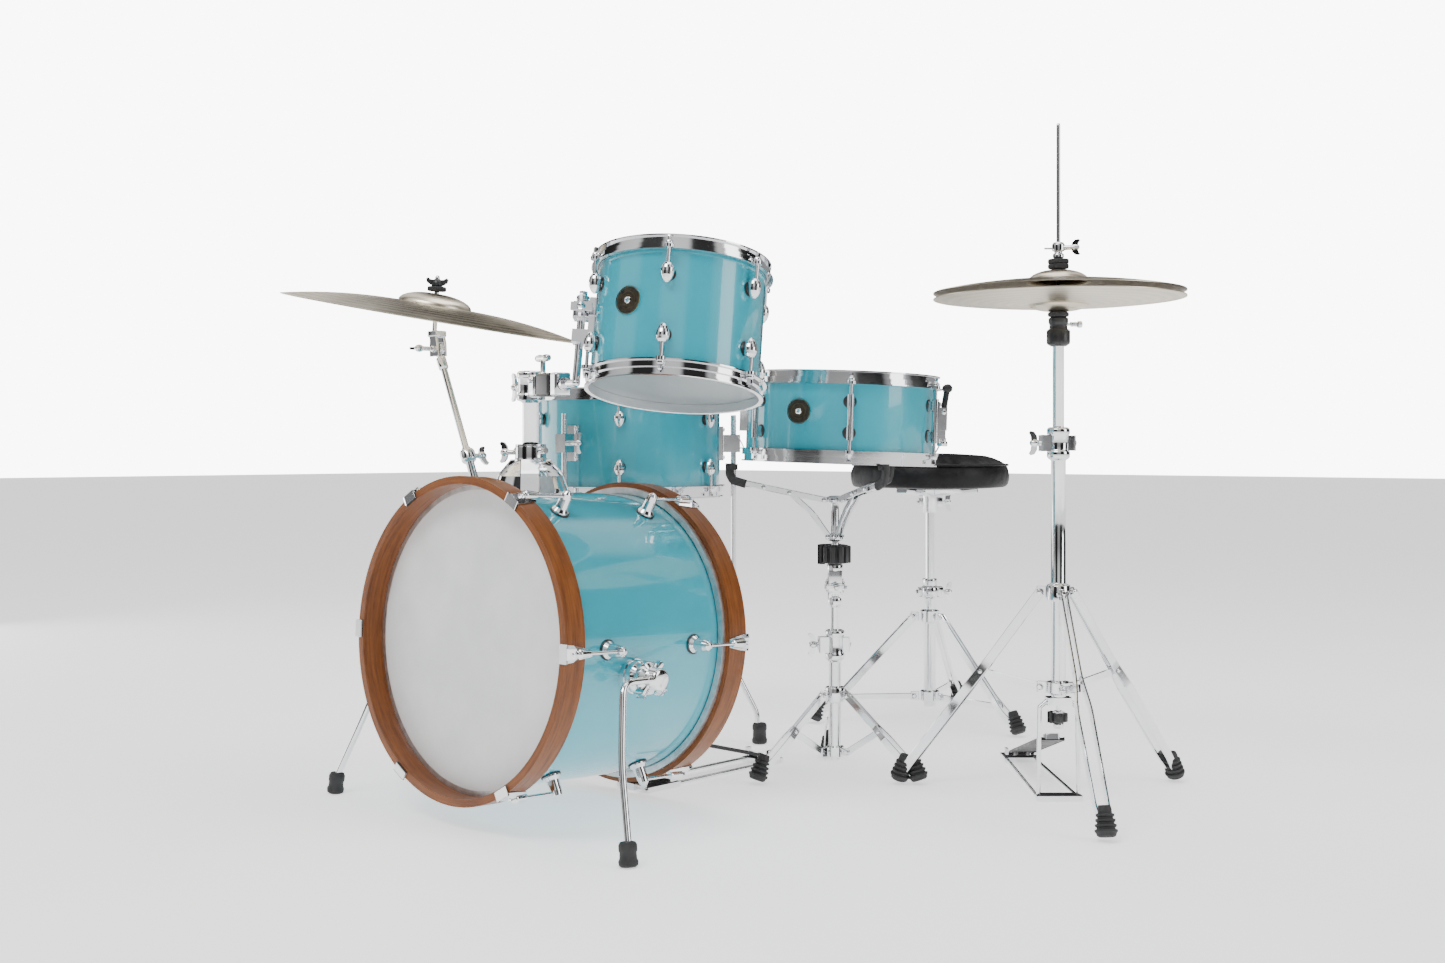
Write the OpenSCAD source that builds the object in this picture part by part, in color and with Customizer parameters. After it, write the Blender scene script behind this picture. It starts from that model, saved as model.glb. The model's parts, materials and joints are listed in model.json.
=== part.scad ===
// Four-piece acoustic drum kit with stands, pedals, cymbals and throne.
// Millimetres, +Z up. The kit is laid out from the floor point below the bass drum's
// front rim, then moved so that the origin is the bottom centre of the whole kit.

/* [Bass drum] */
// Radius of the bass drum shell
bass_r = 228.6; // [227:0.1:230]
// Length over both wooden hoops
bass_len = 382; // [378:1:386]
// Upward tilt of the front head
bass_tilt = 2.5; // [2:0.1:3]

/* [Drums] */
// Radius of the rack tom shell
tom_r = 127; // [126:0.1:128]
// Height of the rack tom shell
tom_h = 178; // [176:1:180]
// Radius of the floor tom shell
floor_r = 177.8; // [177:0.1:178.5]
// Height of the floor tom shell
floor_h = 178; // [170:1:182]
// Radius of the snare shell
snare_r = 165; // [164:0.1:166]
// Height of the snare shell
snare_h = 127; // [124:1:128]
// Wall thickness of every shell
shell_wall = 6; // [5:0.5:7]

/* [Cymbals] */
// Radius of the hi-hat cymbals
hat_r = 203; // [190:1:206]
// Radius of the crash cymbal
crash_r = 254; // [240:1:256]

/* [Throne] */
// Radius of the seat
seat_r = 166; // [150:1:175]
// Height of the seat top
seat_z = 562; // [555:1:565]

/* [Hidden] */
shift = [100.6, 727.65, 0];
bass_c = [0, 191, 277.2];
tom_c = [253, 224, 757];
floor_c = [-317, 673, 585];
snare_c = [171, 705, 627];
crash_c = [-279, 171, 798];
hat_c = [568, 791, 0];
throne_c = [-34, 1285, 0];
hub_axis = 152.2;
rod_r = 2.7;
bore_r = 2.95;
gap = 0.3;
lug_out = 12.5;
film = 0.5;
claw_w = 26;

function polar(a, r, z) = [r * cos(a), r * sin(a), z];

module kit() translate(-shift) children();

// Straight round bar between two points
module rod(a, b, r) {
    d = b - a;
    translate(a)
        rotate([0, acos(d[2] / norm(d)), atan2(d[1], d[0])])
            cylinder(h = norm(d), r = r);
}

// Round bar bent at each inner point
module bent(pts, r) {
    for (i = [0 : len(pts) - 2]) rod(pts[i], pts[i + 1], r);
    for (i = [1 : len(pts) - 2]) translate(pts[i]) sphere(r = r * 1.04);
}

module tube(ro, ri, z0, z1) {
    difference() {
        translate([0, 0, z0]) cylinder(h = z1 - z0, r = ro);
        translate([0, 0, z0 - 1]) cylinder(h = z1 - z0 + 2, r = ri);
    }
}

// Flat bar in the radial plane, from a to b given as [radius, height]
module bar(a, b, w, t, y = 0, ext = 0) {
    d = b - a;
    translate([a[0], y, a[1]])
        rotate([0, -atan2(d[1], d[0]), 0])
            translate([-ext, -t / 2, -w / 2])
                cube([norm(d) + 2 * ext, t, w]);
}

module block(size) translate(-size / 2) cube(size);

module ring_of(n, a0) for (i = [0 : n - 1]) rotate([0, 0, a0 + i * 360 / n]) children();

module both_ends() {
    children();
    mirror([0, 0, 1]) children();
}

// ---- drums, built round their own axis ----
function egg(l, w, n = 10) = [for (i = [0 : n])
    let (a = 180 * i / n) [w * sin(a) * (1 + 0.18 * cos(a)), l * cos(a)]];

module shell(r, h) {
    tube(r, r - shell_wall, -h / 2, h / 2);
}

module badge(r, a, z, br) {
    rotate([0, 0, a]) translate([r - 2, 0, z]) rotate([0, 90, 0]) cylinder(h = 4, r = br);
}

module hoop(r, h, n, a0) {
    z = h / 2;
    ears = r + lug_out;
    both_ends() difference() {
        union() {
            rotate_extrude() polygon([[r + 0.6, z + 1.5], [r + 4.6, z + 1.5],
                [r + 4.6, z - 8], [r + 11, z - 8], [r + 11, z - 6], [r + 6.4, z - 6],
                [r + 6.4, z + 3.3], [r + 2.4, z + 3.3], [r + 2.4, z + 12.6],
                [r + 7, z + 12.6], [r + 7, z + 14.8], [r + 0.6, z + 14.8]]);
            ring_of(n, a0) translate([ears, 0, z - 8.5]) cylinder(h = 4.9, r = 7.2);
        }
        ring_of(n, a0) translate([ears, 0, z - 20]) cylinder(h = 30, r = 3.2);
    }
}

module heads(r, h) {
    z = h / 2;
    both_ends() {
        translate([0, 0, z + 0.2]) cylinder(h = film, r = r + 4);
        tube(r + 4.1, r + 0.8, z - 6, z + 1.2);
    }
}

module tension_rod(r, z0, z1) {
    translate([r, 0, z0]) cylinder(h = z1 - z0 + 1, r = rod_r);
    translate([r, 0, z1]) cylinder(h = 5, r = 5.2);
    translate([r, 0, z1 + 6]) block([5, 5, 6]);
}

module egg_lugs(r, h, n, a0, l = 16, w = 10) {
    ears = r + lug_out;
    zl = h / 2 - 44;
    ring_of(n, a0) both_ends() {
        difference() {
            translate([ears - 3, 0, zl]) union() {
                rotate_extrude() polygon(egg(l, w));
                translate([-11, 0, 0]) rotate([0, 90, 0]) cylinder(h = 8, r = 7);
            }
            cylinder(h = h, r = r + 0.2);
            translate([ears, 0, zl - 6]) cylinder(h = 40, r = bore_r);
        }
        tension_rod(ears, zl - 5, h / 2 - 3.3);
    }
}

// ---- bass drum ----
module at_bass() kit() translate(bass_c) rotate([-90 - bass_tilt, 0, 0]) children();

bass_half = bass_len / 2;
bass_hoop = 38;
bass_rod = 256;

post_r = 13;
post_low = 470;

// The tom post passes through the shell into the drum, so it can be lowered.
module bass_shell() color("MediumTurquoise") difference() {
    at_bass() shell(bass_r, 2 * hub_axis);
    kit() translate([0, post_c[1], 440]) cylinder(h = 90, r = post_r + 0.3);
}

module bass_hoops() at_bass() color("SaddleBrown") both_ends()
    tube(248.5, 236.5, bass_half - bass_hoop + gap, bass_half);

module bass_heads() at_bass() color("White") both_ends() {
    z = bass_half - bass_hoop;
    translate([0, 0, z - film]) cylinder(h = film, r = 236);
    tube(240, 230.2, z - 7.5, z);
}

module bass_lug() {
    difference() {
        translate([bass_r - 5, 0, 91]) rotate([0, 90, 0]) rotate_extrude()
            polygon([[0, 0], [14, 0], [13.4, 9], [10, 14], [9, 30], [7.5, 38], [4, 42], [0, 43]]);
        cylinder(h = 200, r = bass_r + 0.2);
        translate([bass_rod, 0, 86]) cylinder(h = 40, r = bore_r);
    }
}

module bass_lugs() at_bass() color("Silver") both_ends() ring_of(6, 0) bass_lug();

module bass_claw() {
    z = bass_half;
    r = 248.5 + gap;
    difference() {
        union() {
            translate([r, -claw_w / 2, z - 36]) cube([3, claw_w, 39]);
            translate([r - 9, -claw_w / 2, z + gap]) cube([12, claw_w, 2.6]);
            translate([bass_rod, 0, z - 34]) cylinder(h = 20, r1 = 6, r2 = 7);
            translate([r + 1, -5, z - 20]) cube([6, 10, 23]);
        }
        cylinder(h = 300, r = r - 9);
        translate([bass_rod, 0, z - 40]) cylinder(h = 31, r = 3.2);
    }
    translate([bass_rod, 0, 88]) cylinder(h = z - 36 - 88 + 16, r = rod_r);
}

module bass_claws() at_bass() color("Silver") both_ends() ring_of(6, 0) bass_claw();

spur_y = 151;
spur_z = 238;

module bass_fittings() kit() color("Silver") {
    difference() {
        union() {
            for (s = [-1, 1]) translate([s * 205, spur_y, spur_z])
                rotate([0, s * 90, 0]) cylinder(h = 30, r = 26);
            translate([0, 150, 490]) rotate_extrude()
                polygon([[0, 0], [58, 0], [57, 22], [50, 42], [36, 58], [24, 63], [24, 92], [0, 92]]);
            translate([-120, 150, 462]) rotate([0, -25, 0]) cylinder(h = 46, r = 17);
        }
        translate(bass_c) rotate([-90 - bass_tilt, 0, 0])
            translate([0, 0, -200]) cylinder(h = 400, r = bass_r + 0.2);
        translate([0, 150, 505]) cylinder(h = 100, r = post_r + 0.1);
        crash_bore();
    }
    for (s = [-1, 1]) translate([22 * s, 150, 572]) rotate([0, 90 * s, 0]) cylinder(h = 14, r = 5);
}

module spur(s) kit() color("Silver") {
    translate([s * 235.4, spur_y, spur_z]) rotate([0, s * 90, 0]) cylinder(h = 22, r = 24);
    translate([s * 257, spur_y, spur_z]) rotate([0, s * 90, 0]) cylinder(h = 28, r = 15);
    bent([[s * 278, spur_y, spur_z], [s * 278, 84, 240], [s * 308, 52, 130], [s * 350, 25, 22]], 5.4);
    translate([s * 351, 24, 0]) cylinder(h = 26, r1 = 13, r2 = 10);
    translate([s * 348, 26, 26]) cylinder(h = 7, r = 8.5);
}

module spur_left() spur(1);
module spur_right() spur(-1);

// ---- rack tom ----
module at_tom() kit() translate(tom_c) rotate([-10.4, -4.35, 0]) children();

tom_a = -54;
tom_side = -140;
tom_tilt = [-10.4, -4.35];
arm_r = 6.2;
arm_out = tom_r + 21;
tom_x = [cos(tom_tilt[1]), 0, -sin(tom_tilt[1])];
tom_y = [sin(tom_tilt[0]) * sin(tom_tilt[1]), cos(tom_tilt[0]), sin(tom_tilt[0]) * cos(tom_tilt[1])];
tom_z = cross(tom_x, tom_y);
function on_tom(p) = tom_c + p[0] * tom_x + p[1] * tom_y + p[2] * tom_z;
elbow = on_tom(polar(tom_side, arm_out, -94));
post_c = [0, 150, elbow[2]];
arm_dir = (elbow - post_c) / norm(elbow - post_c);
arm_turn = atan2(arm_dir[1], arm_dir[0]);

module tom_post() kit() translate([0, post_c[1], 0]) color("Silver") {
    translate([0, 0, post_low]) cylinder(h = 663 - post_low, r = post_r);
    difference() {
        translate([0, 0, post_c[2]]) rotate([0, 0, arm_turn]) union() {
            cylinder(h = 46, r = 22, center = true);
            translate([64, 0, 0]) block([92, 27, 34]);
            translate([-44, 0, 0]) rotate([0, 90, 0]) cylinder(h = 32, r = 9);
            translate([-58, 0, 0]) rotate([0, 90, 0]) cylinder(h = 18, r = 4);
            translate([-60, 0, 0]) block([6, 46, 12]);
            translate([42, 0, 10]) cylinder(h = 30, r = 4.5);
            translate([42, 0, 42]) block([34, 10, 9]);
        }
        translate([0, -post_c[1], 0])
            rod(post_c + 60 * arm_dir, post_c + 130 * arm_dir, arm_r + 0.1);
    }
}

module tom_arm() kit() color("Silver") {
    bent([post_c + 64 * arm_dir, elbow, on_tom(polar(tom_side, arm_out, 48))], arm_r);
    rod(post_c + 112 * arm_dir, post_c + 120 * arm_dir, 10);
}

module tom_shell() {
    at_tom() color("MediumTurquoise") shell(tom_r, tom_h);
    at_tom() color("Gold") badge(tom_r, tom_a - 27, 8, 21);
}

module tom_hoops() at_tom() color("Silver") hoop(tom_r, tom_h, 6, tom_a);
module tom_heads() at_tom() color("White") heads(tom_r, tom_h);
module tom_lugs() at_tom() color("Silver") egg_lugs(tom_r, tom_h, 6, tom_a);

module tom_bracket() at_tom() color("Silver") rotate([0, 0, tom_side]) difference() {
    union() {
        translate([tom_r + 3, 0, -2]) block([10, 34, 76]);
        translate([tom_r + 18, 0, 17]) block([30, 25, 26]);
        translate([tom_r + 18, 0, -23]) block([28, 24, 20]);
        translate([tom_r + 18, 10, 17]) rotate([-90, 0, 0]) cylinder(h = 18, r = 4);
        translate([tom_r + 18, 30, 17]) block([32, 7, 12]);
    }
    cylinder(h = 200, r = tom_r + 0.2, center = true);
    translate([arm_out, 0, -60]) cylinder(h = 120, r = arm_r + 0.1);
}

// ---- crash cymbal ----
crash_n = [0.171, 0.065, 0.983];
arm_lo = [-116, 150, 470];
arm_hi = [-266, 173, 744];
stay_n = [0.06, 0.025, 1];
stay_c = crash_c + 41 * crash_n;

module at_crash() kit() translate(crash_c)
    rotate([0, acos(crash_n[2] / norm(crash_n)), atan2(crash_n[1], crash_n[0])]) children();

module crash_bore() rod(arm_lo, arm_lo + 0.5 * (arm_hi - arm_lo), 7.1);

module crash_arm() kit() color("Silver") difference() {
    d = (arm_hi - arm_lo) / norm(arm_hi - arm_lo);
    union() {
        rod(arm_lo + 14 * d, arm_lo + 120 * d, 7);
        rod(arm_lo + 96 * d, arm_lo + 116 * d, 12);
        rod(arm_lo + 110 * d, arm_hi - 20 * d, 5.6);
        rod(arm_hi - 42 * d, arm_hi - 21 * d, 8.2);
        rod(arm_hi - 24 * d, arm_hi - 8 * d, 3.5);
        translate(arm_hi) rotate([90, 0, 0]) cylinder(h = 9, r = 12, center = true);
    }
    translate(arm_hi) rotate([90, 0, 0]) cylinder(h = 20, r = 3.5, center = true);
}

module crash_tilter() kit() color("Silver") {
    translate(arm_hi) {
        for (s = [-1, 1]) translate([-3, s * 8.1, 5]) block([21, 6, 36]);
        translate([0, -43, 0]) rotate([-90, 0, 0]) cylinder(h = 56, r = 3.4);
        translate([-4, 0, 26]) block([26, 24, 10]);
        translate([0, -44, 0]) block([30, 6, 12]);
    }
    rod(stay_c - 68 * stay_n, stay_c + 32 * stay_n, 4);
}

module cymbal(r, h, bell_r, bell_h, hole) {
    t = 1.3;
    bow = [for (i = [0 : 8]) let (u = i / 8) [r - (r - bell_r) * u, h * (1 - pow(1 - u, 2))]];
    bell = [for (i = [1 : 7]) let (a = 90 * i / 7)
        [hole + (bell_r - hole) * cos(a), h + bell_h * sin(a)]];
    top = concat(bow, bell);
    n = len(top);
    under = [for (i = [n - 1 : -1 : 0]) top[i] - [0, t]];
    rotate_extrude() polygon(concat(top, under));
}

module crash_cymbal() at_crash() color("Khaki") cymbal(crash_r, 22, 62, 20, 6.5);

module crash_felts() kit() translate(stay_c) color("DimGray")
    rotate([0, acos(stay_n[2] / norm(stay_n)), atan2(stay_n[1], stay_n[0])]) {
        tube(15, 4.3, -16, -4.6);
        tube(10, 4.3, -24, -15);
        tube(16, 4.3, 4.4, 13);
        tube(10, 4.3, 12, 23);
        for (s = [-1, 1]) translate([s * 14, 0, 19]) block([16, 5, 9]);
    }

// ---- floor tom ----
module at_floor() kit() translate(floor_c) children();

floor_lug_a = -49.4;
floor_leg_a = -79.4;
leg_r = floor_r + 27;

module floor_tom_shell() at_floor() color("MediumTurquoise") {
    shell(floor_r, floor_h);
    badge(floor_r, 190, 5, 21);
}

module floor_tom_hoops() at_floor() color("Silver") hoop(floor_r, floor_h, 6, floor_lug_a);
module floor_tom_heads() at_floor() color("White") heads(floor_r, floor_h);

module floor_tom_lugs() at_floor() color("Silver") {
    egg_lugs(floor_r, floor_h, 6, floor_lug_a);
    ring_of(3, floor_leg_a) difference() {
        union() {
            translate([floor_r + 2, 0, 0]) block([10, 34, 66]);
            translate([leg_r - 3, 0, 0]) block([32, 22, 34]);
            translate([leg_r, 8, 0]) rotate([-90, 0, 0]) cylinder(h = 18, r = 5);
            translate([leg_r, 29, 0]) block([10, 6, 34]);
        }
        cylinder(h = 100, r = floor_r + 0.2, center = true);
        translate([leg_r, 0, -60]) cylinder(h = 120, r = 5.5);
    }
}

module floor_tom_legs() kit() translate([floor_c[0], floor_c[1], 0]) color("Silver") ring_of(3, floor_leg_a) {
    bent([[leg_r, 0, 640], [leg_r, 0, 150], [leg_r + 46, 0, 60], [leg_r + 50, 0, 14]], 5.2);
    translate([leg_r + 51, 0, 0]) cylinder(h = 36, r1 = 14, r2 = 10);
}

// ---- snare drum ----
snare_tilt = 1.9;
snare_lug_a = -46.5;
rt_a = 42.5;
basket_z = 334;
module snare_lean() translate([snare_c[0], snare_c[1], basket_z]) rotate([0, 0, rt_a])
    rotate([0, snare_tilt, 0]) rotate([0, 0, -rt_a]) children();
module at_snare() kit() snare_lean() translate([0, 0, snare_c[2] - basket_z]) children();

module snare_shell() at_snare() color("MediumTurquoise") {
    shell(snare_r, snare_h);
    badge(snare_r, snare_lug_a - 30, 8, 21);
}

module snare_hoops() at_snare() color("Silver") hoop(snare_r, snare_h, 6, snare_lug_a);
module snare_heads() at_snare() color("White") heads(snare_r, snare_h);

module snare_lugs() at_snare() color("Silver") ring_of(6, snare_lug_a) {
    ears = snare_r + lug_out;
    difference() {
        union() {
            translate([ears, 0, -38]) cylinder(h = 76, r = 5.6);
            for (s = [-1, 1]) translate([ears - 9, 0, 26 * s]) block([16, 12, 16]);
        }
        cylinder(h = 100, r = snare_r + 0.2, center = true);
        for (s = [-1, 1]) translate([ears, 0, s * 32 - 10]) cylinder(h = 20, r = bore_r);
    }
    both_ends() tension_rod(ears, 24, snare_h / 2 - 3.3);
}

strain_a = 43.5;
module at_strain() at_snare() rotate([0, 0, strain_a]) translate([snare_r, 0, 0]) children();

module snare_strainer() color("Silver") difference() {
    union() {
        at_strain() {
            translate([3, 0, 0]) block([10, 34, 72]);
            for (s = [-1, 1]) translate([13, s * 13, 6]) block([16, 6, 40]);
            translate([13, 0, -21]) block([14, 22, 16]);
            translate([16, 0, -36]) cylinder(h = 9, r = 7);
        }
        at_snare() rotate([0, 0, 180 + strain_a]) translate([snare_r + 5, 0, -6]) block([14, 36, 40]);
    }
    at_snare() cylinder(h = 120, r = snare_r + 0.2, center = true);
    at_strain() translate([15, 0, 18]) rotate([90, 0, 0]) cylinder(h = 60, r = 2.8, center = true);
}

module snare_lever() at_strain() color("DimGray") {
    translate([15, 0, 18]) rotate([90, 0, 0]) cylinder(h = 30, r = 2.6, center = true);
    translate([19, 0, 34]) block([8, 18, 44]);
    translate([22, 0, 60]) rotate([90, 0, 0]) cylinder(h = 24, r = 8, center = true);
}

module snare_wires() at_snare() color("Silver") rotate([0, 0, strain_a]) {
    z = -snare_h / 2 - 3.4;
    for (i = [-6 : 6]) translate([-120, i * 3.2, z]) rotate([0, 90, 0]) cylinder(h = 240, r = 0.8);
    for (s = [-1, 1]) translate([s * 124, 0, z]) block([12, 46, 1.8]);
}

// ---- tripods ----
module foot(r) translate([r, 0, 0]) cylinder(h = 24, r1 = 17, r2 = 12);

module leg(a, c, f, g1, g2, w) {
    for (s = [-1, 1]) {
        bar(a, c, w, 2.5, s * g1, 3);
        bar(c, f, w, 2.5, s * g2, w / 2);
        translate([c[0], s * (g1 + g2) / 2, c[1]]) block([w, g2 - g1 + 2.5, w]);
    }
    foot(f[0] + 4);
}

module pin(p, r, l) translate([p[0], 0, p[1]]) rotate([90, 0, 0]) cylinder(h = l, r = r, center = true);

module ears(p, inner, t, r, y) difference() {
    union() {
        translate([(inner + p[0]) / 2, y, p[1]]) block([p[0] - inner, t, 1.6 * r]);
        translate([0, y, 0]) pin(p, r, t);
    }
    translate([0, y, 0]) pin(p, 2.8, t + 2);
}

module wing(z, r, a, l = 22) rotate([0, 0, a]) {
    translate([r - 4, 0, z]) rotate([0, 90, 0]) cylinder(h = l, r = 4.4);
    translate([r + l, 0, z]) block([7, 12, 38]);
}

// ---- snare stand ----
module at_stand(x) kit() translate([x[0], x[1], 0]) children();

sA = [24, 142];
sB = [24, 42];
sC = [86, 84];
sF = [158, 16];
snare_legs_a = [132.5, 252.5, 12.5];

module snare_stand_base_tube() at_stand(snare_c) color("Silver") {
    tube(11, 9.2, 28, 206);
    difference() {
        translate([0, 0, 203]) cylinder(h = 53, r = 17);
        translate([0, 0, 200]) cylinder(h = 60, r = 9.2);
    }
    wing(230, 17, 225);
    difference() {
        translate([0, 0, 32]) cylinder(h = 20, r = 16);
        translate([0, 0, 30]) cylinder(h = 30, r = 9.2);
    }
    for (a = snare_legs_a, s = [-1, 1]) rotate([0, 0, a]) ears(sB, 14, 2.2, 6, s * 2.9);
}

module snare_stand_collar() at_stand(snare_c) color("Silver") {
    tube(17, 11.3, 128, 156);
    for (a = snare_legs_a) rotate([0, 0, a]) ears(sA, 15, 5, 6, 0);
}

module snare_leg(i) at_stand(snare_c) color("Silver") rotate([0, 0, snare_legs_a[i]]) {
    leg(sA, sC, sF, 4.4, 10, 12);
    pin(sA, 2.5, 11);
}
module snare_stand_leg_1() snare_leg(0);
module snare_stand_leg_2() snare_leg(1);
module snare_stand_leg_3() snare_leg(2);

module snare_strut(i) at_stand(snare_c) color("Silver") rotate([0, 0, snare_legs_a[i]]) {
    bar(sB, sC, 11, 2.4, 0, 5);
    pin(sB, 2.5, 8);
}
module snare_stand_strut_1() snare_strut(0);
module snare_stand_strut_2() snare_strut(1);
module snare_stand_strut_3() snare_strut(2);

module snare_stand_upper_tube() at_stand(snare_c) color("Silver") {
    translate([0, 0, 60]) cylinder(h = 250, r = 9.1);
    translate([0, 0, 300]) cylinder(h = 16, r = 13);
    difference() {
        translate([0, 0, 326]) rotate([0, 0, rt_a]) block([26, 16, 36]);
        translate([0, 0, basket_z]) rotate([0, 0, rt_a]) rotate([90, 0, 0])
            cylinder(h = 60, r = 3.8, center = true);
    }
}

basket_arms = [-25, 95, 215];
module snare_basket() kit() snare_lean() translate([0, 0, -basket_z]) color("Silver") {
    rotate([0, 0, rt_a]) {
        for (s = [-1, 1]) translate([0, s * 11.6, 341]) block([24, 5, 36]);
        translate([0, 0, 359]) block([24, 28.2, 8]);
        translate([0, 0, basket_z]) rotate([90, 0, 0]) cylinder(h = 46, r = 3.6, center = true);
        translate([0, -26, basket_z]) block([34, 7, 12]);
    }
    translate([0, 0, 360]) cylinder(h = 14, r = 12);
    translate([0, 0, 372]) cylinder(h = 35, r = 28.5);
    translate([0, 0, 405]) cylinder(h = 84, r = 7);
    translate([0, 0, 412]) cylinder(h = 12, r = 14);
    translate([0, 0, 479]) cylinder(h = 12, r = 16);
    ring_of(3, basket_arms[0]) {
        bar([14, 484], [150, 508], 10, 7, 0, 0);
        bar([12, 420], [70, 494], 9, 5, 0, 0);
        bar([148, 508], [187, 519], 12, 8, 0, 0);
        translate([186.5, 0, 531]) block([8, 18, 36]);
        translate([182, 0, 543]) block([12, 18, 6]);
    }
}

// ---- hi-hat stand ----
hA = [30, 340];
hB = [30, 184];
hC = [131, 203];
hF = [275, 16];
hat_legs_a = [-45, 75, 195];
hat_dir = 132.5;
toe = [52, 91];
heel = [330, 18];
module at_hat() at_stand(hat_c) children();

module hihat_base_tube() at_hat() color("Silver") {
    tube(12, 9.3, 169.3, 560);
    tube(18, 9.3, 558, 610);
    wing(584, 18, 225);
    tube(19, 12.1, 326, 354);
    tube(19, 12.1, 172, 196);
    for (a = hat_legs_a) rotate([0, 0, a]) {
        ears(hA, 17, 5, 7, 0);
        for (s = [-1, 1]) ears(hB, 17, 2.2, 7, s * 2.9);
    }
}

module hihat_legs() at_hat() color("Silver") ring_of(3, hat_legs_a[0]) {
    leg(hA, hC, hF, 4.4, 11, 15);
    pin(hA, 2.5, 11);
}

module hihat_struts() at_hat() color("Silver") ring_of(3, hat_legs_a[0]) {
    bar(hB, hC, 12, 2.4, 0, 5);
    pin(hB, 2.5, 8);
}

module hihat_pedal_frame() at_hat() color("Silver") rotate([0, 0, hat_dir]) {
    for (s = [-1, 1]) {
        bent([[0, s * 15, 166], [0, s * 31, 152], [0, s * 33, 6]], 3.6);
        rod([-4, s * 33, 5], [heel[0] - 8, s * 26, 5], 3);
    }
    difference() {
        translate([0, 0, 163]) block([26, 40, 12]);
        translate([0, 0, 150]) cylinder(h = 30, r = 6);
    }
    translate([0, 0, 4.6]) block([24, 74, 9.2]);
    translate([heel[0] + 6, 0, 4.6]) block([46, 64, 9.2]);
    for (s = [-1, 1]) difference() {
        translate([heel[0], s * 26, 14]) block([12, 5, 20]);
        translate([heel[0], 0, heel[1]]) rotate([90, 0, 0]) cylinder(h = 80, r = 3.3, center = true);
    }
}

module hihat_footboard() at_hat() color("DimGray") rotate([0, 0, hat_dir]) {
    bar(toe, heel - [6, 0], 6, 44);
    translate([heel[0], 0, heel[1]]) rotate([90, 0, 0]) cylinder(h = 56, r = 3.1, center = true);
    translate([toe[0] - 8, 0, toe[1] + 1]) block([22, 18, 12]);
}

module hihat_rod() at_hat() color("Silver") {
    translate([0, 0, 116]) cylinder(h = 991, r = 3.2);
    translate([0, 0, 118]) cylinder(h = 26, r = 11);
    rotate([0, 0, hat_dir]) for (i = [0 : 2])
        translate([i * 11 + 6, 0, 117 - i * 5]) block([12, 8, 10]);
}

module hihat_upper_tube() at_hat() color("Silver") {
    tube(9.1, 4.4, 400, 750);
    tube(19, 4.4, 748, 770);
    tube(14, 4.4, 769, 798.6);
    wing(760, 19, 0, 14);
}

module hihat_bottom_cymbal() at_hat() color("Khaki")
    translate([0, 0, 820]) mirror([0, 0, 1]) cymbal(hat_r, 10, 48, 11, 6);

module hihat_top_cymbal() at_hat() color("Khaki") translate([0, 0, 831]) cymbal(hat_r, 16, 50, 20, 6);

module hihat_clutch() at_hat() color("DimGray") {
    tube(5.6, 3.4, 850, 912);
    tube(17, 5.6, 868.5, 885);
    tube(14, 5.6, 855, 864.6);
    tube(10, 5.6, 885.4, 912);
    wing(904, 10, 45, 12);
}

// ---- throne ----
tA = [35, 221];
tB = [35, 53];
tC = [196, 54];
tF = [247, 16];
throne_legs_a = [110.1, 230.1, -9.9];
module at_throne() at_stand(throne_c) children();

module throne_base_tube() at_throne() color("Silver") {
    tube(12.5, 9.9, 31, 262);
    tube(19, 9.9, 261, 284);
    wing(272, 19, 45);
    tube(20, 12.5, 208, 234);
    tube(20, 12.5, 42, 64);
    for (a = throne_legs_a) rotate([0, 0, a]) {
        ears(tA, 18, 5, 7, 0);
        for (s = [-1, 1]) ears(tB, 18, 2.2, 7, s * 2.9);
    }
}

module throne_legs() at_throne() color("Silver") ring_of(3, throne_legs_a[0]) {
    leg(tA, tC, tF, 4.4, 9, 14);
    pin(tA, 2.5, 11);
    bar(tB, tC, 11, 2.4, 0, 5);
    pin(tB, 2.5, 8);
}

module throne_post() at_throne() color("Silver") {
    translate([0, 0, 70]) cylinder(h = 385, r = 9.8);
    tube(15, 9.8, 284.4, 300);
}

module throne_hub() at_throne() color("Silver") difference() {
    union() {
        translate([0, 0, 440]) cylinder(h = 44, r = 15);
        translate([0, 0, 482]) cylinder(h = 10, r = 70);
        wing(462, 15, 45, 12);
    }
    translate([0, 0, 436]) cylinder(h = 20, r = 9.9);
}

module throne_seat() at_throne() color("DimGray") translate([0, 0, 492.3]) rotate_extrude()
    polygon([[0, 0], [seat_r - 8, 0], [seat_r, 8], [seat_r, 44], [seat_r - 6, 56],
        [seat_r - 22, 62], [seat_r * 0.6, seat_z - 494], [0, seat_z - 492.3]]);

// ---- bass drum pedal ----
axle = [440, 175];
k_toe = [402, 92];
k_heel = [697, 16];

module kick_frame() kit() color("Silver") difference() {
    union() {
        for (s = [-1, 1]) {
            translate([s * 30, axle[0], 95]) block([6, 14, 172]);
            translate([s * 30, axle[0], axle[1]]) rotate([0, 90, 0]) cylinder(h = 9, r = 11, center = true);
            rod([s * 30, 425, 5], [s * 30, 690, 5], 3);
            translate([s * 26, k_heel[0], 16]) block([5, 12, 20]);
        }
        translate([0, 413, 4.6]) block([76, 78, 9.2]);
        translate([0, 372, 10]) block([34, 24, 11]);
        translate([0, 706, 4.6]) block([64, 44, 9.2]);
    }
    rod([-60, axle[0], axle[1]], [60, axle[0], axle[1]], 3.8);
    rod([-60, k_heel[0], k_heel[1]], [60, k_heel[0], k_heel[1]], 3.3);
}

module kick_footboard() kit() color("DimGray") {
    rotate([0, 0, 90]) bar(k_toe, k_heel - [6, 0], 6, 40);
    rod([-28, k_heel[0], k_heel[1]], [28, k_heel[0], k_heel[1]], 3.1);
}

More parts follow.
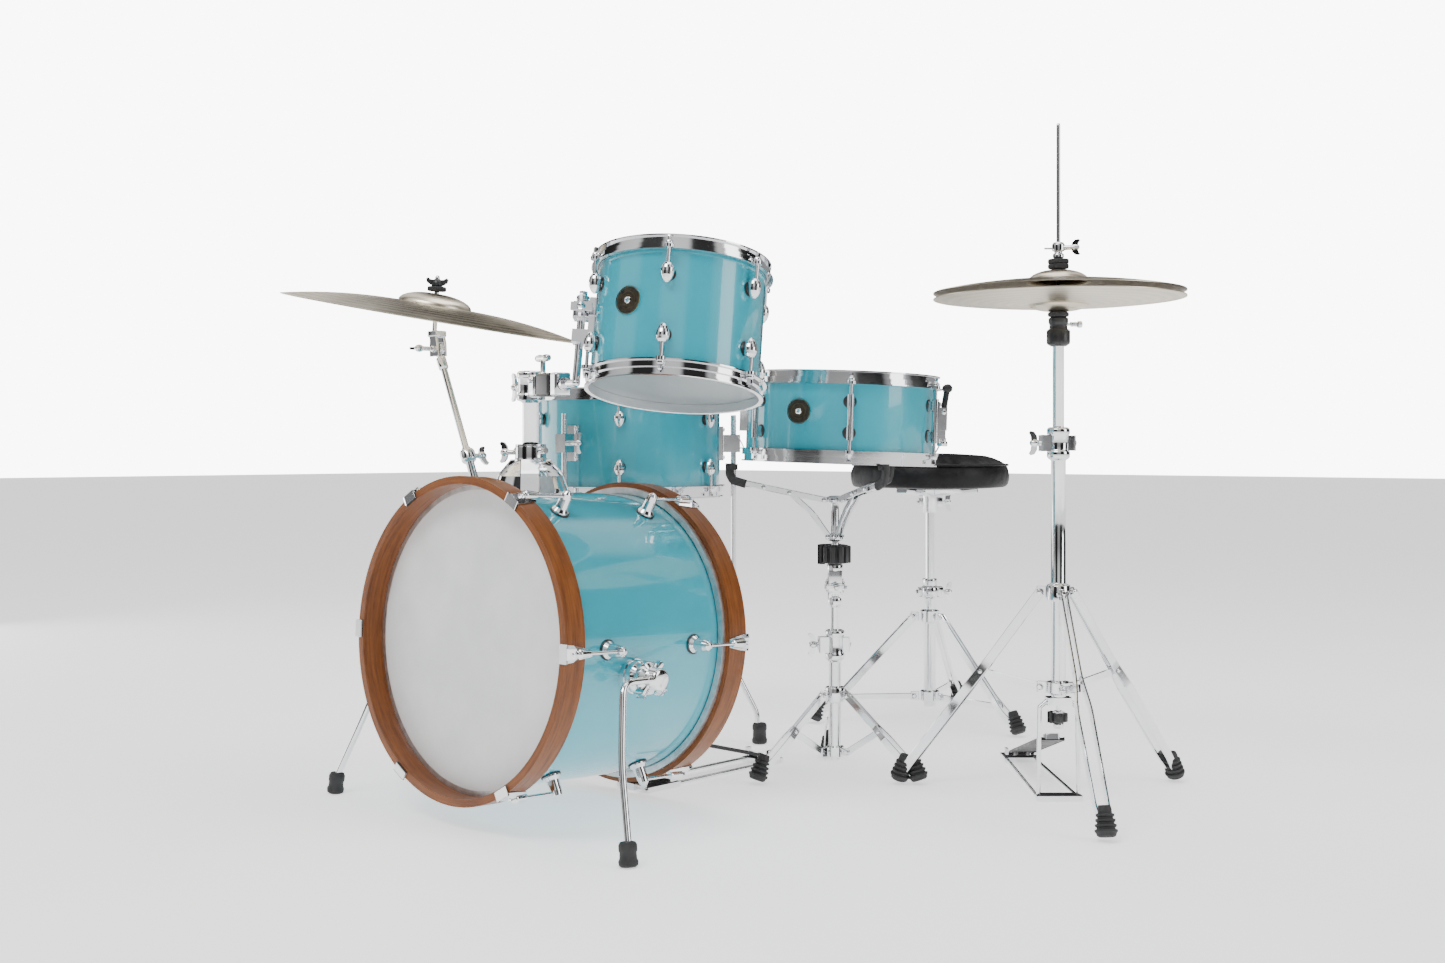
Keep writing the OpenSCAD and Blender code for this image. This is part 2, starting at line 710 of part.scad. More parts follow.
module kick_beater() kit() color("Silver") {
    rod([-36, axle[0], axle[1]], [36, axle[0], axle[1]], 3.6);
    rod([-7, axle[0], axle[1]], [7, axle[0], axle[1]], 27);
    rod([-10, axle[0], axle[1]], [10, axle[0], axle[1]], 12);
    rod([0, axle[0], axle[1]], [0, axle[0] + 97, axle[1] + 139], 3.4);
    rod([0, axle[0] + 77, axle[1] + 144], [0, axle[0] + 118, axle[1] + 115], 24);
}

module kick_chain() kit() color("Silver") {
    for (i = [0 : 6]) translate([0, 409, 103 + i * 12]) block([8, 5, 10.5]);
    translate([0, 409, 139]) block([2.4, 3, 78]);
}

bass_shell();
bass_hoops();
bass_heads();
bass_lugs();
bass_claws();
bass_fittings();
spur_left();
spur_right();
tom_post();
tom_arm();
tom_shell();
tom_hoops();
tom_heads();
tom_lugs();
tom_bracket();
crash_arm();
crash_tilter();
crash_cymbal();
crash_felts();
floor_tom_legs();
floor_tom_shell();
floor_tom_hoops();
floor_tom_heads();
floor_tom_lugs();
snare_shell();
snare_hoops();
snare_heads();
snare_lugs();
snare_strainer();
snare_lever();
snare_wires();
snare_stand_base_tube();
snare_stand_collar();
snare_stand_leg_1();
snare_stand_leg_2();
snare_stand_leg_3();
snare_stand_strut_1();
snare_stand_strut_2();
snare_stand_strut_3();
snare_stand_upper_tube();
snare_basket();
hihat_base_tube();
hihat_legs();
hihat_struts();
hihat_pedal_frame();
hihat_footboard();
hihat_rod();
hihat_upper_tube();
hihat_bottom_cymbal();
hihat_top_cymbal();
hihat_clutch();
throne_base_tube();
throne_legs();
throne_hub();
throne_post();
throne_seat();
kick_frame();
kick_footboard();
kick_beater();
kick_chain();
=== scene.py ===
import json
import math
import random
import bmesh
import bpy
from mathutils import Matrix, Vector


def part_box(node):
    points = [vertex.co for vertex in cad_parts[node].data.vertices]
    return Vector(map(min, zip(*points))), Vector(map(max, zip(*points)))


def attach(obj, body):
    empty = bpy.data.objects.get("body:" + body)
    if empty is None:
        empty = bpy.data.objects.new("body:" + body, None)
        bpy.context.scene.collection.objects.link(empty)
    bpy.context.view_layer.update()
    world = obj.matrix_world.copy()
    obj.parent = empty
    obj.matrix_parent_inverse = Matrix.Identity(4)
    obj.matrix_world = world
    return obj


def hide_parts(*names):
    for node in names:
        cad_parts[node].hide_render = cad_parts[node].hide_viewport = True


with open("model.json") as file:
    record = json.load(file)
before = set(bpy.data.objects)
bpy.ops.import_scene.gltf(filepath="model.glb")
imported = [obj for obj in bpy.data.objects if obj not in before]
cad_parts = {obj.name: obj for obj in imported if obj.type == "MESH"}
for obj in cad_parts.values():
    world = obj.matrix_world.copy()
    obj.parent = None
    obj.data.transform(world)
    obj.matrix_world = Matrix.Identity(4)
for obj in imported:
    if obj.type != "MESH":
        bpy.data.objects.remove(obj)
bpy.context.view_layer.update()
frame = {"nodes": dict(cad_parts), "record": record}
RECORD = frame["record"]
JOINTS = {j["name"]: j for j in RECORD["behaviour"]["joints"]}
random.seed(7)

LAYOUT = Vector(RECORD["mounts"][0]["pos_m"]) - Vector((0, 0.706, 0))


def at(x, y, z=0.0):
    """A layout point in millimetres as a place in the row frame."""
    return LAYOUT + Vector((x, y, z)) / 1000


def polar(a, r, z=0.0):
    return Vector((r * math.cos(math.radians(a)), r * math.sin(math.radians(a)), z)) / 1000


# ---- camera ----
cam_data = bpy.data.cameras.new("camera")
cam_data.lens = 39.86
cam_data.sensor_width = 36
cam_data.shift_y = -0.0226
cam = bpy.data.objects.new("camera", cam_data)
bpy.context.scene.collection.objects.link(cam)
cam.location = at(1929, -1509, 574.6)
cam.rotation_euler = (math.radians(90), 0, math.radians(42.47))
bpy.context.scene.camera = cam


# ---- materials ----
class Look:
    """A procedural material and the few nodes its textures need."""

    def __init__(self, name, metal=0.0, coat=0.0, **shader):
        self.m = bpy.data.materials.new(name)
        self.m.use_nodes = True
        self.nt = self.m.node_tree
        self.b = self.nt.nodes["Principled BSDF"]
        self.b.inputs["Metallic"].default_value = metal
        self.b.inputs["Coat Weight"].default_value = coat
        self.b.inputs["Coat Roughness"].default_value = 0.03
        for k, v in shader.items():
            self.b.inputs[k.replace("_", " ")].default_value = v
        self.tc = self.add("ShaderNodeTexCoord").outputs["Object"]

    def add(self, kind, **props):
        n = self.nt.nodes.new(kind)
        for k, v in props.items():
            setattr(n, k, v)
        return n

    def link(self, a, b):
        self.nt.links.new(a, b)

    def noise(self, scale, detail=4.0, rough=0.55, stretch=None, vec=None):
        n = self.add("ShaderNodeTexNoise")
        n.inputs["Scale"].default_value = scale
        n.inputs["Detail"].default_value = detail
        n.inputs["Roughness"].default_value = rough
        src = vec or self.tc
        if stretch:
            mp = self.add("ShaderNodeMapping")
            mp.inputs["Scale"].default_value = stretch
            self.link(src, mp.inputs["Vector"])
            src = mp.outputs["Vector"]
        self.link(src, n.inputs["Vector"])
        return n.outputs["Fac"]

    def span(self, fac, lo, hi, a=0.3, b=0.7):
        n = self.add("ShaderNodeMapRange")
        n.inputs["From Min"].default_value = a
        n.inputs["From Max"].default_value = b
        n.inputs["To Min"].default_value = lo
        n.inputs["To Max"].default_value = hi
        self.link(fac, n.inputs["Value"])
        return n.outputs["Result"]

    def math(self, op, a, b=None, c=None):
        n = self.add("ShaderNodeMath", operation=op)
        for i, v in enumerate((a, b, c)):
            if v is None:
                continue
            if isinstance(v, (int, float)):
                n.inputs[i].default_value = v
            else:
                self.link(v, n.inputs[i])
        return n.outputs[0]

    def mix(self, fac, c1, c2):
        n = self.add("ShaderNodeMix", data_type="RGBA")
        for i, c in ((6, c1), (7, c2)):
            if isinstance(c, tuple):
                n.inputs[i].default_value = (*c, 1)
            else:
                self.link(c, n.inputs[i])
        self.link(fac, n.inputs[0])
        return n.outputs[2]

    def bump(self, height, strength, distance=0.0004):
        n = self.add("ShaderNodeBump")
        n.inputs["Strength"].default_value = strength
        n.inputs["Distance"].default_value = distance
        self.link(height, n.inputs["Height"])
        self.link(n.outputs["Normal"], self.b.inputs["Normal"])

    def colour(self, socket):
        self.link(socket, self.b.inputs["Base Color"])

    def rough(self, socket):
        self.link(socket, self.b.inputs["Roughness"])


def plain(name, c1, c2, scale, rough, metal=0.0, coat=0.0, bump=0.1, fine=400, stretch=None, **shader):
    k = Look(name, metal, coat, **shader)
    n = k.noise(scale, stretch=stretch)
    k.colour(k.mix(k.span(n, 0, 1), c1, c2))
    k.rough(k.span(n, *rough))
    k.bump(k.noise(fine, 3, stretch=stretch), bump)
    return k.m


def around(k, centre, axis):
    """Distance from an axis and the angle round it, for a look that runs round a drum or cymbal."""
    sub = k.add("ShaderNodeVectorMath", operation="SUBTRACT")
    k.link(k.tc, sub.inputs[0])
    sub.inputs[1].default_value = centre
    z = Vector(axis).normalized()
    x = z.orthogonal().normalized()
    y = z.cross(x)
    out = []
    for v in (x, y, z):
        d = k.add("ShaderNodeVectorMath", operation="DOT_PRODUCT")
        k.link(sub.outputs[0], d.inputs[0])
        d.inputs[1].default_value = v
        out.append(d.outputs["Value"])
    r = k.math("SQRT", k.math("ADD", k.math("MULTIPLY", out[0], out[0]),
                              k.math("MULTIPLY", out[1], out[1])))
    return r, k.math("ARCTAN2", out[1], out[0]), out[2]


LACQUER = plain("lacquer", (0.022, 0.345, 0.44), (0.032, 0.39, 0.49), 3, (0.16, 0.24), coat=1.0,
                bump=0.03, fine=60)
CHROME = plain("chrome", (0.74, 0.75, 0.77), (0.88, 0.885, 0.9), 9, (0.045, 0.13), metal=1.0, bump=0.03,
               fine=90)
BRUSHED = plain("brushed", (0.6, 0.61, 0.63), (0.78, 0.78, 0.8), 14, (0.16, 0.3), metal=1.0, bump=0.08,
                fine=500)
RUBBER = plain("rubber", (0.012, 0.012, 0.013), (0.03, 0.03, 0.031), 60, (0.55, 0.75), bump=0.35, fine=900)
PLASTIC = plain("plastic", (0.012, 0.012, 0.013), (0.022, 0.022, 0.024), 30, (0.3, 0.42), bump=0.15,
                fine=700)
BLACK_METAL = plain("black_metal", (0.014, 0.014, 0.015), (0.03, 0.03, 0.032), 40, (0.32, 0.5), metal=0.3,
                    bump=0.3, fine=1200)
FELT = plain("felt", (0.018, 0.018, 0.02), (0.05, 0.05, 0.052), 250, (0.85, 0.98), bump=1.0, fine=1400)
CREAM_FELT = plain("cream_felt", (0.55, 0.53, 0.48), (0.72, 0.7, 0.64), 220, (0.85, 0.98), bump=1.0,
                   fine=1200)
BRASS = plain("badge_brass", (0.09, 0.065, 0.03), (0.19, 0.14, 0.07), 120, (0.3, 0.5), metal=0.9,
              bump=0.3, fine=600)
BADGE_DARK = plain("badge_dark", (0.018, 0.016, 0.012), (0.05, 0.042, 0.026), 160, (0.35, 0.55), metal=0.6,
                   bump=0.3, fine=700)


def vinyl():
    k = Look("vinyl", Specular_IOR_Level=0.22)
    v = k.add("ShaderNodeTexVoronoi")
    v.inputs["Scale"].default_value = 420
    k.link(k.tc, v.inputs["Vector"])
    n = k.noise(30)
    k.colour(k.mix(k.span(n, 0, 1), (0.0035, 0.0035, 0.004), (0.009, 0.009, 0.010)))
    k.rough(k.span(n, 0.36, 0.5))
    k.bump(k.math("ADD", v.outputs["Distance"], k.math("MULTIPLY", n, 0.8)), 0.35, 0.0005)
    return k.m


def wood(centre, axis):
    k = Look("hoop_wood", coat=0.1, Specular_IOR_Level=0.3)
    r, a, h = around(k, centre, axis)
    vec = k.add("ShaderNodeCombineXYZ")
    k.link(k.math("MULTIPLY", k.math("SINE", a), 1.0), vec.inputs[0])
    k.link(k.math("MULTIPLY", k.math("COSINE", a), 1.0), vec.inputs[1])
    k.link(k.math("MULTIPLY", k.math("ADD", h, k.math("MULTIPLY", r, 1.4)), 60.0), vec.inputs[2])
    n = k.noise(3.2, 8, 0.62, vec=vec.outputs[0])
    fine = k.noise(16, 6, 0.7, vec=vec.outputs[0])
    both = k.math("ADD", k.math("MULTIPLY", n, 0.65), k.math("MULTIPLY", fine, 0.35))
    k.colour(k.mix(k.span(both, 0, 1, 0.35, 0.66), (0.105, 0.028, 0.0045), (0.26, 0.082, 0.014)))
    k.rough(k.span(fine, 0.3, 0.45))
    k.bump(fine, 0.12, 0.0004)
    return k.m


def cymbal_bronze(name, centre, tone=1.0):
    k = Look(name, metal=1.0, Anisotropic=0.5)
    d = k.add("ShaderNodeVectorMath", operation="DISTANCE")
    k.link(k.tc, d.inputs[0])
    d.inputs[1].default_value = centre
    r = d.outputs["Value"]
    wob = k.math("MULTIPLY", k.noise(8), 0.0016)
    rings = k.math("SINE", k.math("MULTIPLY", k.math("ADD", r, wob), 2600.0))
    broad = k.math("SINE", k.math("MULTIPLY", k.math("ADD", r, wob), 330.0))
    n = k.noise(7, 5)
    tint = k.math("ADD", k.math("MULTIPLY", k.math("ADD", rings, broad), 0.11), n)
    c1 = tuple(v * tone for v in (0.52, 0.45, 0.34))
    c2 = tuple(v * tone for v in (0.78, 0.71, 0.58))
    k.colour(k.mix(k.span(tint, 0, 1, 0.25, 0.75), c1, c2))
    k.rough(k.span(tint, 0.26, 0.38, 0.2, 0.8))
    k.bump(k.math("ADD", k.math("MULTIPLY", rings, 0.3), k.math("MULTIPLY", k.noise(55, 2), 1.1)), 0.22,
           0.0006)
    return k.m


def drum_skin(name, centre, axis, half, clear_below):
    """White coated film; below the drum's middle it can be clear, and its rim ring is grey metal."""
    k = Look(name)
    r, _, h = around(k, centre, axis)
    n = k.noise(14, 5)
    white = k.mix(k.span(n, 0, 1), (0.70, 0.715, 0.72), (0.80, 0.81, 0.81))
    ring = k.math("GREATER_THAN", r, half)
    rim = k.mix(k.span(k.noise(60), 0, 1), (0.50, 0.51, 0.52), (0.72, 0.73, 0.74))
    if clear_below:
        low = k.math("LESS_THAN", h, 0.0)
        white = k.mix(low, white, k.mix(k.span(n, 0, 1), (0.52, 0.60, 0.62), (0.66, 0.73, 0.74)))
        k.link(k.math("MULTIPLY", k.math("MULTIPLY", low, k.math("SUBTRACT", 1.0, ring)), 0.72),
               k.b.inputs["Transmission Weight"])
    k.colour(k.mix(ring, white, rim))
    k.link(k.math("MULTIPLY", ring, 0.9), k.b.inputs["Metallic"])
    k.rough(k.span(n, 0.3, 0.42))
    k.bump(k.noise(900, 2), 0.12, 0.0002)
    return k.m


# ---- shapes ----
def finish_piece(name, bm, material, body, slot, smooth=True, angle=35):
    me = bpy.data.meshes.new(name)
    bmesh.ops.recalc_face_normals(bm, faces=bm.faces)
    bm.to_mesh(me)
    bm.free()
    me.materials.append(material)
    o = bpy.data.objects.new(name, me)
    bpy.context.scene.collection.objects.link(o)
    for p in me.polygons:
        p.use_smooth = smooth
    if smooth:
        me.set_sharp_from_angle(angle=math.radians(angle))
    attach(o, body)
    return o


def frame_of(z, x=None):
    z = Vector(z).normalized()
    x = Vector(x) if x is not None else z.orthogonal()
    x = (x - z * x.dot(z)).normalized()
    return Matrix((x, z.cross(x), z)).transposed()


def add_lathe(bm, profile, origin, axis=(0, 0, 1), seg=48, closed=False):
    """Turns a profile of (radius, height) pairs in millimetres round an axis."""
    rot = frame_of(axis)
    origin = Vector(origin)
    rings = []
    for r, z in profile:
        if r < 1e-6:
            rings.append([bm.verts.new(origin + rot @ Vector((0, 0, z / 1000)))])
            continue
        rings.append([bm.verts.new(origin + rot @ Vector((r / 1000 * math.cos(2 * math.pi * i / seg),
                                                         r / 1000 * math.sin(2 * math.pi * i / seg),
                                                         z / 1000)))
                      for i in range(seg)])
    pairs = list(zip(rings, rings[1:])) + ([(rings[-1], rings[0])] if closed else [])
    for a, b in pairs:
        for i in range(seg):
            j = (i + 1) % seg
            if len(a) == 1 and len(b) == 1:
                break
            if len(a) == 1:
                bm.faces.new((a[0], b[i], b[j]))
            elif len(b) == 1:
                bm.faces.new((a[i], a[j], b[0]))
            else:
                bm.faces.new((a[i], a[j], b[j], b[i]))


def capped(profile):
    return [(0, profile[0][1])] + list(profile) + [(0, profile[-1][1])]


def rounded(profile, by=0.8):
    """The profile with each corner cut by a small chamfer pair, so edges catch the light."""
    out = []
    n = len(profile)
    for i, p in enumerate(profile):
        if i in (0, n - 1):
            out.append(p)
            continue
        for q in (profile[i - 1], profile[i + 1]):
            d = math.hypot(q[0] - p[0], q[1] - p[1])
            t = min(by, d * 0.4) / max(d, 1e-9)
            out.append((p[0] + (q[0] - p[0]) * t, p[1] + (q[1] - p[1]) * t))
    return out


def add_turned(bm, profile, where, axis, *seg, by=0.8):
    """A solid turned piece: the outline closed to its axis and its corners eased."""
    add_lathe(bm, rounded(capped(profile), by), where, axis, *seg)


def add_block(bm, size, centre, rot=None, bevel=1.5, seg=3):
    made = bmesh.ops.create_cube(bm, size=1.0)
    verts = made["verts"]
    rot = rot or Matrix.Identity(3)
    for v in verts:
        v.co = Vector(centre) + rot @ Vector((v.co.x * size[0], v.co.y * size[1], v.co.z * size[2])) / 1000
    edges = list({e for v in verts for e in v.link_edges})
    bmesh.ops.bevel(bm, geom=edges, offset=bevel / 1000, segments=seg, profile=0.6, affect="EDGES")


def add_tube(bm, points, radius, seg=20, cap=True):
    """A round bar through the points (row frame, metres), its bends rounded."""
    pts = smooth_path(points)
    n = len(pts)
    side = (pts[1] - pts[0]).orthogonal().normalized()
    rings = []
    for i, p in enumerate(pts):
        d = (pts[min(i + 1, n - 1)] - pts[max(i - 1, 0)]).normalized()
        side = (side - d * side.dot(d)).normalized()
        up = d.cross(side)
        rad = radius(i / (n - 1)) if callable(radius) else radius
        rings.append([bm.verts.new(p + (side * math.cos(t) + up * math.sin(t)) * rad / 1000)
                      for t in (2 * math.pi * k / seg for k in range(seg))])
    for a, b in zip(rings, rings[1:]):
        for i in range(seg):
            j = (i + 1) % seg
            bm.faces.new((a[i], a[j], b[j], b[i]))
    if cap:
        bm.faces.new(rings[0])
        bm.faces.new(list(reversed(rings[-1])))


def smooth_path(points, cut=0.3, steps=6):
    pts = [Vector(p) for p in points]
    out = [pts[0]]
    for i in range(1, len(pts) - 1):
        a, b, c = pts[i - 1], pts[i], pts[i + 1]
        r = min((a - b).length, (c - b).length) * cut
        s = b + (a - b).normalized() * r
        e = b + (c - b).normalized() * r
        for k in range(steps + 1):
            t = k / steps
            out.append(s.lerp(b, t).lerp(b.lerp(e, t), t))
    out.append(pts[-1])
    return out


def add_ribbon(bm, points, width, thick, lateral, bevel=0.8):
    """A flat strap through the points; its thin way is the lateral direction."""
    lateral = Vector(lateral).normalized()
    pts = smooth_path(points, 0.25, 4)
    n = len(pts)
    rings = []
    for i, p in enumerate(pts):
        d = (pts[min(i + 1, n - 1)] - pts[max(i - 1, 0)]).normalized()
        up = d.cross(lateral).normalized()
        lat = up.cross(d).normalized()
        w = (width(i / (n - 1)) if callable(width) else width) / 2000
        t = thick / 2000
        c = bevel / 1000
        shape = [(w - c, t), (w, t - c * 0.9), (w, -t + c * 0.9), (w - c, -t), (-w + c, -t),
                 (-w, -t + c * 0.9),
                 (-w, t - c * 0.9), (-w + c, t)]
        rings.append([bm.verts.new(p + up * u + lat * v) for u, v in shape])
    for a, b in zip(rings, rings[1:]):
        for i in range(8):
            j = (i + 1) % 8
            bm.faces.new((a[i], a[j], b[j], b[i]))
    bm.faces.new(rings[0])
    bm.faces.new(list(reversed(rings[-1])))


def add_wing(bm, centre, axis, across, span=40, reach=22, hub=5.5):
    """A wing bolt: a turned hub along the axis with two swept blades."""
    rot = frame_of(axis, across)
    c = Vector(centre)
    add_turned(bm, [(4, -reach), (4, -6), (hub, -5), (hub + 1.2, 0), (hub, 5), (3, 8)], c,
             rot @ Vector((0, 0, 1)), 24)
    for s in (-1, 1):
        out = [(2, -4), (span * 0.28, -3.5), (span * 0.46, 1), (span * 0.5, 7), (span * 0.42, 9.5),
               (span * 0.3, 6.5), (2, 5)]
        half = 2.4 / 1000
        top = [bm.verts.new(c + rot @ Vector((s * u / 1000, half * (1 - 0.3 * abs(u) / span),
                                              v / 1000))) for u, v in out]
        low = [bm.verts.new(c + rot @ Vector((s * u / 1000, -half * (1 - 0.3 * abs(u) / span),
                                              v / 1000))) for u, v in out]
        bm.faces.new(top)
        bm.faces.new(list(reversed(low)))
        for i in range(len(out)):
            j = (i + 1) % len(out)
            bm.faces.new((top[i], low[i], low[j], top[j]))


def piece(name, build, material, body, slot, replaces=(), **kw):
    bm = bmesh.new()
    build(bm)
    o = finish_piece(name, bm, material, body, slot, **kw)
    if replaces:
        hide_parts(*replaces)
    return o


# ---- looks of the carried-over CAD nodes ----
BASS_AXIS = Vector((0, math.cos(math.radians(2.5)), -math.sin(math.radians(2.5))))
BASS_C = at(0, 191, 277.2)
TOM_C = at(253, 224, 757)
TOM_AXIS = Vector((-0.0746, 0.1805, 0.9807))
FLOOR_C = at(-317, 673, 585)
SNARE_C = at(171 + 9.7 * 0.737, 705 + 9.7 * 0.675, 627)
UP = Vector((0, 0, 1))
SNARE_AXIS = Vector((0.0245, 0.0224, 0.9994))


def set_look(node, material):
    me = frame["nodes"][node].data
    me.materials.clear()
    me.materials.append(material)


for n in frame["nodes"]:
    set_look(n, CHROME)
for n in ("bass_shell", "tom_shell", "floor_tom_shell", "snare_shell"):
    set_look(n, LACQUER)
set_look("bass_hoops", wood(BASS_C, BASS_AXIS))
set_look("bass_heads", drum_skin("bass_skin", BASS_C, BASS_AXIS, 0.2285, False))
set_look("tom_heads", drum_skin("tom_skin", TOM_C, TOM_AXIS, 0.1275, True))
set_look("floor_tom_heads", drum_skin("floor_skin", FLOOR_C, UP, 0.1783, True))
set_look("snare_heads", drum_skin("snare_skin", SNARE_C, SNARE_AXIS, 0.1655, True))
set_look("throne_seat", vinyl())
set_look("crash_felts", FELT)
for n in ("hihat_footboard", "kick_footboard"):
    set_look(n, BLACK_METAL)
set_look("snare_lever", PLASTIC)
set_look("snare_wires", BRUSHED)


# ---- cymbals ----
def cymbal_profile(r, h, bell_r, bell_h, hole, t=1.3):
    top = []
    for i in range(25):
        u = i / 24
        top.append((r - (r - bell_r) * u, h * (1 - (1 - u) ** 2)))
    for i in range(1, 11):
        a = math.pi / 2 * i / 10
        top.append((hole + (bell_r - hole) * math.cos(a), h + bell_h * math.sin(a)))
    low = [(p[0], p[1] - t) for p in reversed(top)]
    return top + low


def cymbal(name, centre, axis, spec, body, node, material):
    piece(name, lambda bm: add_lathe(bm, cymbal_profile(*spec), centre, axis, 160, closed=True), material,
          body,
          "bronze", [node], angle=50)


CRASH_C = at(-279, 171, 798)
CRASH_N = Vector((0.171, 0.065, 0.983)).normalized()
HAT = (568, 791)
cymbal("crash", CRASH_C, CRASH_N, (254, 22, 62, 20, 6.5), "crash_cymbal", "crash_cymbal",
       cymbal_bronze("crash_bronze", CRASH_C, 1.22))
cymbal("hat_top", at(*HAT, 831), UP, (203, 16, 50, 20, 6), "hihat_top", "hihat_top_cymbal",
       cymbal_bronze("hat_top_bronze", at(*HAT, 831)))
cymbal("hat_bottom", at(*HAT, 820), -UP, (203, 10, 48, 11, 6), "hihat_upper", "hihat_bottom_cymbal",
       cymbal_bronze("hat_low_bronze", at(*HAT, 820), 0.96))


# ---- tripods ----
def boot(bm, ground, along):
    """Ribbed rubber foot standing on the ground, leaning along the leg."""
    prof = [(0, 0), (11, 0.3), (14, 2.5), (15, 6)]
    for i in range(4):
        r = 15.2 - 1.1 * i
        z = 8 + 7.5 * i
        prof += [(r + 1.6, z), (r + 1.8, z + 3), (r - 1.4, z + 4.2), (r - 1.6, z + 6)]
    prof += [(10.5, 40), (9, 46), (0, 46)]
    d = Vector(along).normalized()
    tilt = (UP * 0.9 + d * 0.75).normalized()
    add_lathe(bm, prof, Vector(ground) + Vector((0, 0, 0.0088)) - tilt * 0.002, tilt, 28)


def leg(prefix, centre, ang, a, c, f, g1, g2, w, body, nodes):
    rad = polar(ang, 1000)
    lat = Vector((-rad.y, rad.x, 0))
    base = at(*centre)

    def p(rz, t):
        return base + rad * rz[0] / 1000 + lat * t / 1000 + UP * rz[1] / 1000

    def straps(bm):
        dx, dz = f[0] - c[0], f[1] - c[1]
        near = (c[0] + dx * 0.16, c[1] + dz * 0.16)
        late = (c[0] + dx * 0.84, c[1] + dz * 0.84)
        up = (c[0] - (c[0] - a[0]) * 0.1, c[1] - (c[1] - a[1]) * 0.1)
        for s in (-1, 1):
            add_ribbon(bm, [p(a, s * g1), p(up, s * g1), p(near, s * g2), p(late, s * g2 * 0.9),
                            p(f, s * 3.5)],
                       w, 3.0, lat)
        add_tube(bm, [p(a, -8.5), p(a, 8.5)], 3.6, 12)
        for s in (-1, 1):
            add_turned(bm, [(5, 0), (5, 3), (2.8, 4.2)], p(a, s * 6.2), lat * s, 6)
            add_turned(bm, [(4, 0), (4, 2.2), (2, 3)], p(c, s * (g1 + 1.4)), lat * s, 12)

    piece(prefix + "_leg", straps, CHROME, body, "chrome", nodes)
    piece(prefix + "_boot", lambda bm: boot(bm, p((f[0] + 3, 0), 0), p(c, 0) - p(f, 0)), RUBBER, body,
          "chrome")


def strut(prefix, centre, ang, b, c, w, body, nodes):
    rad = polar(ang, 1000)
    lat = Vector((-rad.y, rad.x, 0))
    base = at(*centre)

    def p(rz, t):
        return base + rad * rz[0] / 1000 + lat * t / 1000 + UP * rz[1] / 1000

    def bar(bm):
        add_ribbon(bm, [p(b, 0), p(c, 0)], w, 3.0, lat)
        add_tube(bm, [p(b, -6.5), p(b, 6.5)], 3.2, 12)

    piece(prefix + "_strut", bar, CHROME, body, "chrome", nodes)


SNARE_XY = (171, 705)
THRONE_XY = (-34, 1285)
for i, a in enumerate((132.5, 252.5, 12.5)):
    n = str(i + 1)
    leg("snare_" + n, SNARE_XY, a, (24, 142), (86, 84), (158, 16), 4.4, 10, 12, "kit",
        ["snare_stand_leg_" + n])
    strut("snare_" + n, SNARE_XY, a, (24, 42), (86, 84), 11, "kit", ["snare_stand_strut_" + n])
for i in range(3):
    n = str(i + 1)
    leg("hat_" + n, HAT, -45 + 120 * i, (30, 340), (131, 203), (275, 16), 4.4, 11, 15, "kit",
        ["hihat_legs"] if i == 0 else [])
    strut("hat_" + n, HAT, -45 + 120 * i, (30, 184), (131, 203), 12, "kit",
          ["hihat_struts"] if i == 0 else [])
    leg("throne_" + n, THRONE_XY, 110.1 + 120 * i, (35, 221), (196, 54), (247, 16), 4.4, 9, 14, "kit",
        ["throne_legs"] if i == 0 else [])
    strut("throne_" + n, THRONE_XY, 110.1 + 120 * i, (35, 53), (196, 54), 11, "kit", [])

# ---- rubber tips of the spurs and floor tom legs ----
def tip(bm, foot, tilt, r0=13.5, h=34):
    prof = [(0, 0), (r0 - 3, 0.2), (r0, 2.5), (r0 + 0.6, 8), (r0 - 1.2, 12), (r0 - 1.6, h - 14),
            (r0 - 0.4, h - 12),
            (r0 - 0.4, h - 4), (r0 - 2.5, h), (5, h + 1.5), (0, h + 1.5)]
    add_lathe(bm, prof, foot, tilt, 32)


SPUR_R = 5.4
for side, body in ((1, "spur_left"), (-1, "spur_right")):
    foot = at(side * 351, 24, 0.4)
    piece(body + "_tip", lambda bm: tip(bm, foot, (-side * 0.12, 0.06, 1)), RUBBER, body, "chrome")
    knob_c = at(side * 257, 151, 238)

    def knob(bm):
        out = (side, 0, 0)
        add_turned(bm, [(24.6, -22), (25, -10), (21, -4), (21, -1), (24.5, 1), (24.5, 9), (16.5, 14),
                                      (16.5, 30.5), (13, 33)], knob_c, out, 48, by=1.2)
        for k in range(4):
            d = Vector((0, math.cos(math.radians(45 + 90 * k)), math.sin(math.radians(45 + 90 * k))))
            add_block(bm, (11, 9, 20), knob_c + Vector((side * 0.009, 0, 0)) + d * 0.021,
                      frame_of(d, (1, 0, 0)), 3)

    piece(body + "_knob", knob, CHROME, body, "chrome")
    bends = [at(side * x, y, z) for x, y, z in ((278, 151, 238), (278, 84, 240), (308, 52, 130),
                                                (349, 25.7, 26))]
    piece(body + "_rod", lambda bm: add_tube(bm, bends, SPUR_R), CHROME, body, "chrome", [body])

